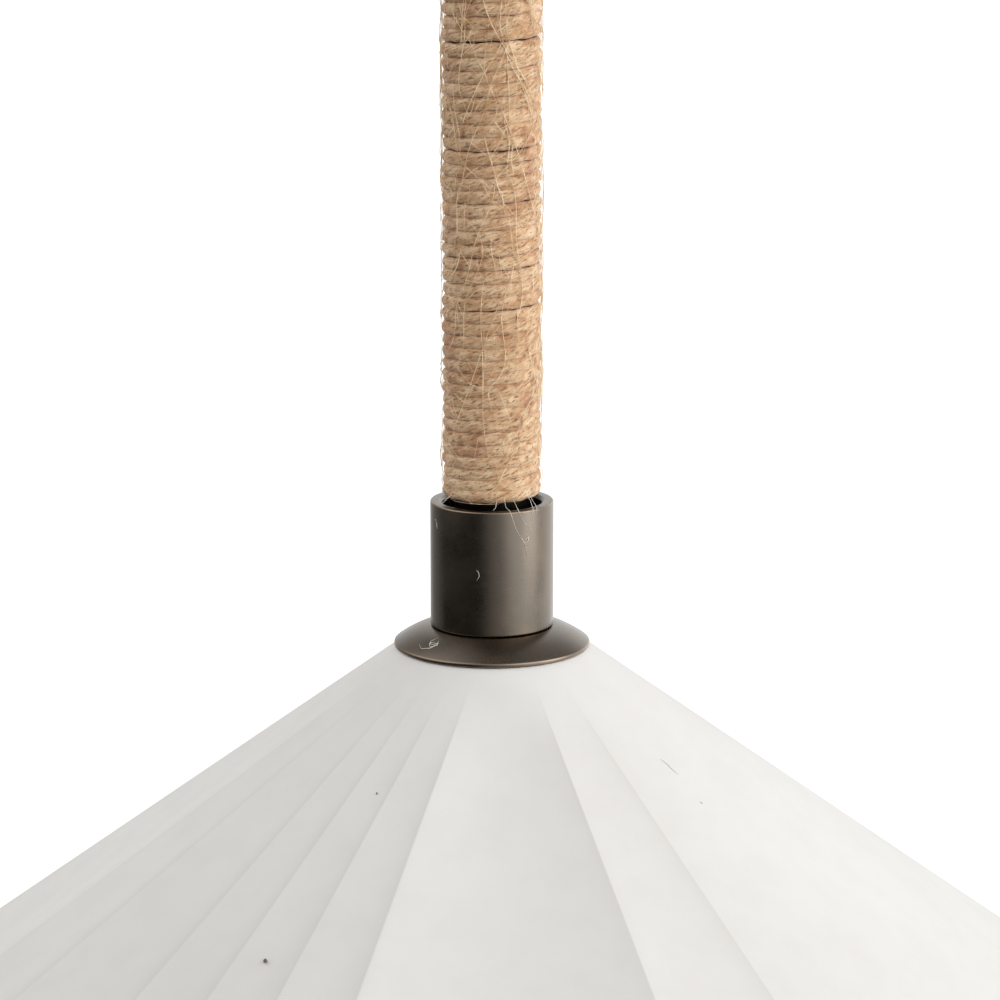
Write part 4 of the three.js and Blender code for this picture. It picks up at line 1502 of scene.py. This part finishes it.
@dataclass
class Shade:
    """The cone shade: a drilled crown and a wall of even thickness, pinched between uneven creases."""

    finishes: Finishes
    wall: float = 4.0 * MM
    crown_thickness: float = 5.0 * MM
    crown_inset: float = 0.5 * MM
    slope: float = math.radians(36.2)
    crease_start: float = 1 * MM
    crease_run: float = 28 * MM
    crease_depth: float = 1.45
    round_panel: float = 60.0
    crest: float = 0.35
    least_bow: float = 0.24
    crease_shade_width: float = 1.3
    rings: int = 46
    flecks: tuple[tuple[float, float, float, float, float], ...] = (
        (-29.2, 58.8, 0.5, 0.4, 0.17),
        (-32.6, 102.3, 0.7, 0.5, 0.50),
        (52.0, 54.1, 4.9, 1.4, 0.07),
        (52.1, 66.5, 0.6, 0.3, 0.11),
        (28.0, 140.0, 0.6, 0.2, 0.22),
        (-70.0, 176.0, 0.5, 0.3, 0.25),
        (131.0, 120.0, 5.5, 2.0, 0.11),
        (-141.0, 88.0, 0.7, 0.4, 0.30),
    )
    angles: tuple[float, ...] = (
        -163, -149, -128, -114, -80, -67, -48, -38, -29, -19, 21, 37, 112, 124, 143, 154, 176,
    )
    drifts: tuple[float, ...] = (
        2.0, -1.5, 3.0, 4.0, 7.0, 6.0, 3.0, 3.0, 4.0, 5.0, 0.5, 0.0, -2.0, 1.5, -3.0, 2.0, -1.0,
    )

    def build(self) -> None:
        """Spin the plain cone, then press the panels in between the creases."""
        extent = Extent.of("shade")
        crown = Extent.of("saucer_flange").radius - self.crown_inset
        top, rim = extent.top, extent.bottom
        run = (top - rim) / math.tan(self.slope)
        across = self.wall / math.sin(self.slope)
        outer = [(crown + run * s, top - (top - rim) * s) for s in self._ring_shares()]
        inner_top = top - self.crown_thickness
        inner_start = self.crown_thickness / (top - rim)
        inner = [
            (crown + run * s - across, top - (top - rim) * s)
            for s in np.linspace(inner_start, 1, self.rings // 2)
        ]
        edge = 0.9 * MM
        outline = [
            (NIPPLE_HOLE, inner_top),
            *inner[:-1],
            *fillet([inner[-2], inner[-1], outer[-1], outer[-2]], edge, 5)[1:-1],
            *reversed(outer[:-1]),
            (NIPPLE_HOLE, top),
            (NIPPLE_HOLE, inner_top),
        ]
        columns = self._columns()
        cone = turn_outline("cone_shade", outline, len(columns))
        self._crease(cone, columns, crown, top)
        smooth(cone, 50.0)
        install(cone, Body.STEM, Slot.SHADE, self.finishes, "shade")
        self._marks(crown, top)

    def _marks(self, crown: float, top: float) -> None:
        """Lay a few dark specks and stray hairs on the wall, as pressed in with the pulp."""
        paths = []
        for azimuth, radius, drop, swing, size in self.flecks:
            share = np.linspace(0, 1, 6)
            reach = (radius + drop * share) * MM
            turn = np.radians(azimuth + swing * share + 0.15 * swing * np.sin(share * 6))
            height = top - (reach - crown) * math.tan(self.slope)
            path = np.stack([reach * np.sin(turn), -reach * np.cos(turn), height], axis=1)
            paths.append((path, size * MM))
        marks = tube_bundle("shade_flecks", paths, 6)
        install(marks, Body.STEM, Slot.SHADE, self.finishes, material=self.finishes.fleck)

    def _ring_shares(self) -> Array:
        """Places of the rings down the slope, closer together near the crown."""
        return np.linspace(0, 1, self.rings) ** 1.5

    def _columns(self) -> Array:
        """Each column's panel and its share across it, closer together near the creases."""
        columns = []
        for panel, (start, end) in enumerate(pairwise([*self.angles, self.angles[0] + 360])):
            count = max(14, int(round((end - start) / 0.9)))
            shares = (1 - np.cos(np.linspace(0, math.pi, count, endpoint=False))) / 2
            columns += [(panel, share) for share in shares]
        return np.array(columns)

    def _crease(self, cone: bpy.types.Object, columns: Array, crown: float, top: float) -> None:
        """Move each column to its place between two creases and press it in.

        Args:
            cone: the plain cone.
            columns: each column's panel and share.
            crown: the crown's radius.
            top: the crown's height.
        """
        points = vertices_of(cone)
        reach = np.hypot(points[:, 0], points[:, 1])
        turn = np.arctan2(points[:, 1], points[:, 0]) % FULL_TURN
        number = np.round(turn / FULL_TURN * len(columns)).astype(int) % len(columns)
        panel = columns[number, 0].astype(int)
        share = columns[number, 1]
        outer = crown + (top - points[:, 2]) / math.tan(self.slope)
        rim_radius = float(outer.max())
        fixed = np.radians(np.array([*self.angles, self.angles[0] + 360]))
        drift = np.array([*self.drifts, self.drifts[0]]) * MM
        inward = 1 / outer - 1 / rim_radius
        start = fixed[panel] + drift[panel] * inward
        end = fixed[panel + 1] + drift[panel + 1] * inward
        angle = start + (end - start) * share
        width = fixed[panel + 1] - fixed[panel]
        hollow = self.crease_depth * (1 - np.cos(width / 2))
        hollow = np.maximum(hollow, self.least_bow * width / 4) * (width < math.radians(self.round_panel))
        near = np.minimum(share, 1 - share) * np.degrees(width)
        press = 4 * share * (1 - share) * near / (near + self.crest)
        begin = crown + self.crease_start
        grown = smoothstep(outer, begin, begin + self.crease_run)
        reach = reach - hollow * press * outer * grown
        # Painted shade: a share that is strongest next to each panel's following crease, which the pulp
        # darkens into a thin grey line.
        crease_shade_mask = np.exp(-(1 - share) * np.degrees(width) / self.crease_shade_width)
        mark_points(cone, "painted_crease_shade", crease_shade_mask * grown * (width < math.radians(self.round_panel)))
        placed = np.stack([reach * np.sin(angle), -reach * np.cos(angle), points[:, 2]], axis=1)
        set_vertices(cone, placed)


# ---------------------------------------------------------------- socket and bulb


@dataclass
class LampSocket:
    """The bronze cup, porcelain insert, brass screw shell and its terminals."""

    finishes: Finishes
    cup_wall: float = 1.2 * MM

    def build(self) -> None:
        """Make every piece of the socket."""
        self._cup()
        install_refined("socket_nut", 0.3 * MM, Body.STEM, Slot.STEEL, self.finishes)
        install_refined("socket_insulator", 0.4 * MM, Body.STEM, Slot.PORCELAIN, self.finishes)
        self._shell()
        install_refined("centre_contact", 0.1 * MM, Body.STEM, Slot.BRASS, self.finishes)
        for pole, slot in (("line", Slot.BLACK_SLEEVE), ("neutral", Slot.WHITE_SLEEVE)):
            install_refined(f"terminal_screw_{pole}", 0.15 * MM, Body.STEM, Slot.BRASS, self.finishes)
            install(soft_copy(f"{pole}_wire"), Body.STEM, slot, self.finishes, f"{pole}_wire")

    def _cup(self) -> None:
        """Spin the cup with a rolled bead near its mouth."""
        extent = Extent.of("socket_cup")
        radius, mouth, roof = extent.radius, extent.bottom, extent.top
        bore = radius - self.cup_wall
        neck = radius - 0.5 * MM
        outline = closed_fillet(
            [
                (bore, mouth),
                (radius, mouth),
                (radius, mouth + 3 * MM),
                (neck, mouth + 3.6 * MM),
                (neck, mouth + 16 * MM),
                (radius, mouth + 16.8 * MM),
                (radius, mouth + 18.8 * MM),
                (neck, mouth + 19.6 * MM),
                (neck, roof),
                (NIPPLE_HOLE, roof),
                (NIPPLE_HOLE, roof - 1.5 * MM),
                (bore, roof - 1.5 * MM),
                (bore, mouth),
            ],
            1.0 * MM,
            5,
        )
        cup = turn_outline("lamp_cup", outline, 128)
        install(cup, Body.STEM, Slot.BRONZE, self.finishes, "socket_cup")

    def _shell(self) -> None:
        """Spin the brass shell and roll a thread into its wall."""
        extent = Extent.of("screw_shell")
        radius, mouth, top = extent.radius, extent.bottom, extent.top
        wall = 0.5 * MM
        heights = np.linspace(mouth, top - 1.0 * MM, 64)
        outline = [
            *((radius - 0.35 * MM - wall, float(z)) for z in heights[::-1]),
            *((radius - 0.35 * MM, float(z)) for z in heights),
            (radius - 1.2 * MM, top),
            (5 * MM, top),
            (5 * MM, top - wall),
            (radius - 1.6 * MM, top - wall),
            (radius - 0.35 * MM - wall, float(heights[-1])),
        ]
        shell = turn_outline("socket_thread", outline, 72)
        roll_thread(shell, 0.3 * MM, mouth + 1.5 * MM, top - 2.5 * MM, radius - 2 * MM)
        install(smooth(shell, 60), Body.STEM, Slot.BRASS, self.finishes, "screw_shell")


THREAD_PITCH = 3.63 * MM


def roll_thread(piece: bpy.types.Object, depth: float, low: float, high: float, inside: float) -> None:
    """Roll a round right-hand thread into a turned wall.

    Args:
        piece: the turned piece.
        depth: half of the thread's height.
        low: where the thread begins.
        high: where it ends.
        inside: only what lies outside this radius is moved.
    """
    points = vertices_of(piece)
    reach = np.hypot(points[:, 0], points[:, 1])
    angle = np.arctan2(points[:, 1], points[:, 0])
    run_out = 1.2 * MM
    fade = smoothstep(points[:, 2], low, low + run_out)
    fade *= 1 - smoothstep(points[:, 2], high - run_out, high)
    wave = depth * np.sin(points[:, 2] / THREAD_PITCH * FULL_TURN - angle) * fade * (reach > inside)
    scale = (reach + wave) / np.maximum(reach, 1e-9)
    points[:, 0] *= scale
    points[:, 1] *= scale
    set_vertices(piece, points)


@dataclass
class Bulb:
    """A clear globe bulb with a screw cap and four upright filaments."""

    finishes: Finishes
    glass_wall: float = 0.8 * MM

    def build(self) -> None:
        """Make every piece of the bulb."""
        install_refined("bulb_tip", 0.4 * MM, Body.THREAD, Slot.STEEL, self.finishes)
        install_refined("bulb_insulator", 0.3 * MM, Body.BULB, Slot.RUBBER, self.finishes)
        self._cap()
        self._glass()
        self._mount()
        for number in range(1, 5):
            install_refined(f"filament_{number}", 0.3 * MM, Body.BULB, Slot.FILAMENT, self.finishes)
        install_refined("filament_hub", 0.4 * MM, Body.BULB, Slot.GLASS, self.finishes)

    def _cap(self) -> None:
        """Spin the cap's shell and roll its thread."""
        extent = Extent.of("bulb_cap")
        radius, bottom, top = extent.radius - 0.3 * MM, extent.bottom, extent.top
        wall = 0.5 * MM
        heights = [float(z) for z in np.linspace(bottom, top - 1.0 * MM, 56)]
        outline = [
            (0, top - wall),
            (radius - 1.4 * MM, top - wall),
            *((radius - wall, z) for z in reversed(heights)),
            *((radius, z) for z in heights),
            (radius - 1.0 * MM, top),
            (0, top),
        ]
        cap = turn_outline("bulb_thread_cap", outline, 72)
        roll_thread(cap, 0.3 * MM, bottom + 4 * MM, top - 1.5 * MM, radius - 2 * MM)
        install(smooth(cap, 60), Body.BULB, Slot.BRASS, self.finishes, "bulb_cap")

    def _glass(self) -> None:
        """Spin the globe: a neck that eases into a sphere, open inside the cap."""
        extent = Extent.of("bulb_glass")
        radius, bottom, top = extent.radius, extent.bottom, extent.top
        neck = 11.6 * MM
        centre = bottom + radius
        shoulder = math.radians(40)
        neck_end = Extent.of("bulb_cap").bottom - 2 * MM
        outside = [(neck, top), (neck, neck_end)]
        join_r, join_z = radius * math.cos(shoulder), centre + radius * math.sin(shoulder)
        for share in np.linspace(0, 1, 14)[1:-1]:
            ease = share * share * (3 - 2 * share) * 0.55 + share * 0.45
            outside.append((neck + (join_r - neck) * ease, neck_end + (join_z - neck_end) * share))
        for angle in np.linspace(shoulder, -math.pi / 2, 34):
            outside.append((radius * math.cos(angle), centre + radius * math.sin(angle)))
        outside[-1] = (0.0, bottom)
        inside = self._offset(outside, self.glass_wall)
        glass = turn_outline("bulb_globe", [*reversed(outside), *inside], 96)
        install(smooth(glass, 60), Body.BULB, Slot.GLASS, self.finishes, "bulb_glass")

    @staticmethod
    def _offset(outline: Outline, distance: float) -> Outline:
        """The outline moved inwards by a distance, ending on the axis."""
        points = np.array(outline)
        along = np.gradient(points, axis=0)
        along /= np.linalg.norm(along, axis=1)[:, None]
        normal = np.stack([along[:, 1], -along[:, 0]], axis=1)
        moved = points + normal * distance
        moved[0] = (points[0, 0] - distance, points[0, 1])
        moved[-1] = (0.0, points[-1, 1] + distance)
        return [(max(0.0, float(r)), float(z)) for r, z in moved]

    def _mount(self) -> None:
        """Spin the glass mount that holds the filaments."""
        extent = Extent.of("bulb_mount")
        top, bottom, disc = extent.top, extent.bottom, extent.radius
        outline = fillet(
            [
                (0, bottom),
                (disc, bottom),
                (disc, bottom + 1.4 * MM),
                (2.4 * MM, bottom + 3.4 * MM),
                (2.2 * MM, bottom + 20 * MM),
                (4 * MM, top - 6 * MM),
                (4 * MM, top),
                (0, top),
            ],
            1.2 * MM,
            4,
        )
        mount = turn_outline("filament_mount", outline, 48)
        install(smooth(mount, 60), Body.BULB, Slot.GLASS, self.finishes, "bulb_mount")


# ---------------------------------------------------------------- studio


@dataclass
class Studio:
    """A pale floor, a soft white surround, two soft lamps and the camera."""

    floor_drop: float = 0.2
    camera_offset: tuple[float, float, float] = (2.1 * MM, -1057.8 * MM, 273.6 * MM)
    pitch: float = math.radians(12.55)
    lens: float = 151.2
    sensor: float = 36.0
    glows: tuple[tuple[float, float, float], ...] = (
        (175, 8, 0.72),
        (-150, -16, 0.36),
        (-90, 40, 1.20),
        (-60, 45, 0.30),
        (10, 50, 0.30),
        (30, -16, 0.20),
        (25, 12, 0.42),
        (60, 12, 1.62),
        (60, 40, 0.40),
        (95, -12, 0.50),
        (120, -16, 0.70),
        (150, -16, 0.66),
        (150, 40, 0.42),
    )
    least: float = 0.045
    gain: float = 0.84
    backdrop: float = 1.06

    def build(self) -> None:
        """Set up the whole studio."""
        self._camera()
        self._floor()
        self._surround()
        self._lamps()
        scene = bpy.context.scene
        scene.view_settings.view_transform = "Standard"
        scene.view_settings.look = "None"

    def _camera(self) -> None:
        """Look down a little at the flange, from in front."""
        target = Vector((0, 0, Extent.of("saucer_flange").bottom))
        data = bpy.data.cameras.new("camera")
        data.lens = self.lens
        data.sensor_width = self.sensor
        data.clip_start = 0.01
        data.clip_end = 100
        camera = bpy.data.objects.new("camera", data)
        camera.location = target + Vector(self.camera_offset)
        camera.rotation_euler = (math.pi / 2 - self.pitch, 0, 0)
        bpy.context.scene.collection.objects.link(camera)
        bpy.context.scene.camera = camera

    def _floor(self) -> None:
        """Lay a wide pale floor below the lamp, whose glow runs from pale grey at the front to white at the
        back, as painted light of a sweep lit from behind.
        """
        leave_selection()
        height = Extent.of("shade").bottom - self.floor_drop
        bpy.ops.mesh.primitive_plane_add(size=60, location=(0, 0, height))
        floor = bpy.context.active_object
        floor.name = "studio_floor"
        surface = Surface("studio_floor", Roughness=0.9)
        surface.shader.inputs["Base Color"].default_value = (0.9, 0.9, 0.9, 1)
        surface.shader.inputs["Emission Strength"].default_value = 0.5
        # Painted light: the floor's glow is greyer towards the front and white towards the back.
        backlit_share = surface.axis(surface.place(), "Y").between(-1.2, 0.9)
        surface.drive("Emission Color", surface.mix(backlit_share, (0.6, 0.6, 0.6), (1.0, 1.0, 1.0)))
        floor.data.materials.append(surface.material)
        floor.visible_diffuse = False
        floor.visible_glossy = False
        floor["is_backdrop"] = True

    def _surround(self) -> None:
        """Light the scene from all round by soft glows, brightest on the right and at the upper left."""
        world = bpy.data.worlds.new("surround")
        world.use_nodes = True
        bpy.context.scene.world = world
        bench = Bench(world.node_tree)
        direction = bench.node("ShaderNodeTexCoord", output="Generated")
        level = self.least
        for azimuth, elevation, amount in self.glows:
            aim = tuple(self._towards(azimuth, elevation))
            settings = {"operation": "DOT_PRODUCT"}
            facing = bench.node("ShaderNodeVectorMath", settings, {0: direction, 1: aim}, output="Value")
            level = level + amount * facing.between(0.62, 0.98)
        seen = bench.node("ShaderNodeLightPath", output="Is Camera Ray")
        level = level * self.gain
        strength = level + seen * (self.backdrop - level)
        background = bench.node("ShaderNodeBackground", sockets={0: (1, 1, 1, 1), 1: strength})
        bench.node("ShaderNodeOutputWorld", sockets={0: background})

    @staticmethod
    def _towards(azimuth: float, elevation: float) -> Vector:
        """A direction.

        Args:
            azimuth: degrees round from the front, towards +X.
            elevation: degrees above level.

        Returns:
            The unit vector.
        """
        turn, rise = math.radians(azimuth), math.radians(elevation)
        return Vector((math.sin(turn) * math.cos(rise), -math.cos(turn) * math.cos(rise), math.sin(rise)))

    def _lamps(self) -> None:
        """Hang a large soft lamp on the right and a weaker fill at the left rear, kept out of the metal."""
        focus = Vector((0, 0, Extent.of("saucer_flange").bottom))
        self._area("key", focus, 76, 8, 1.9, (1.0, 1.4), 6.2)
        self._area("fill", focus, -126, 12, 1.9, (1.0, 1.2), 7.0).visible_glossy = False

    @staticmethod
    def _area(
        name: str,
        focus: Vector,
        azimuth: float,
        elevation: float,
        distance: float,
        size: tuple[float, float],
        power: float,
    ) -> bpy.types.Object:
        """Add one soft lamp that faces the flange.

        Args:
            name: the lamp's name.
            focus: the point it faces.
            azimuth: degrees round from the front, towards +X.
            elevation: degrees above level.
            distance: metres from the point.
            size: its width and height in metres.
            power: its power in watts.

        Returns:
            The lamp.
        """
        away = Studio._towards(azimuth, elevation)
        data = bpy.data.lights.new(name, "AREA")
        data.shape = "RECTANGLE"
        data.size, data.size_y = size
        data.energy = power
        lamp = bpy.data.objects.new(name, data)
        lamp.location = focus + away * distance
        lamp.rotation_euler = away.to_track_quat("Z", "Y").to_euler()
        lamp.visible_camera = False
        bpy.context.scene.collection.objects.link(lamp)
        return lamp


# ---------------------------------------------------------------- the whole lamp


def corners() -> list[list[float]]:
    """The lowest and highest corners of the whole object, as plain numbers."""
    return [list(corner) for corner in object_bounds()]


def main() -> None:
    """Load the frame, set up the studio and build each part of the lamp."""
    logging.basicConfig(level=logging.INFO, format="%(name)s: %(message)s")
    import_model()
    finishes = Finishes()
    Studio().build()
    Canopy(finishes).build()
    Swivel(finishes).build()
    Stem(finishes).build()
    TwineWrap(finishes).build()
    Saucer(finishes).build()
    Shade(finishes).build()
    LampSocket(finishes).build()
    Bulb(finishes).build()
    leave_selection()


if __name__ == "__main__":
    main()
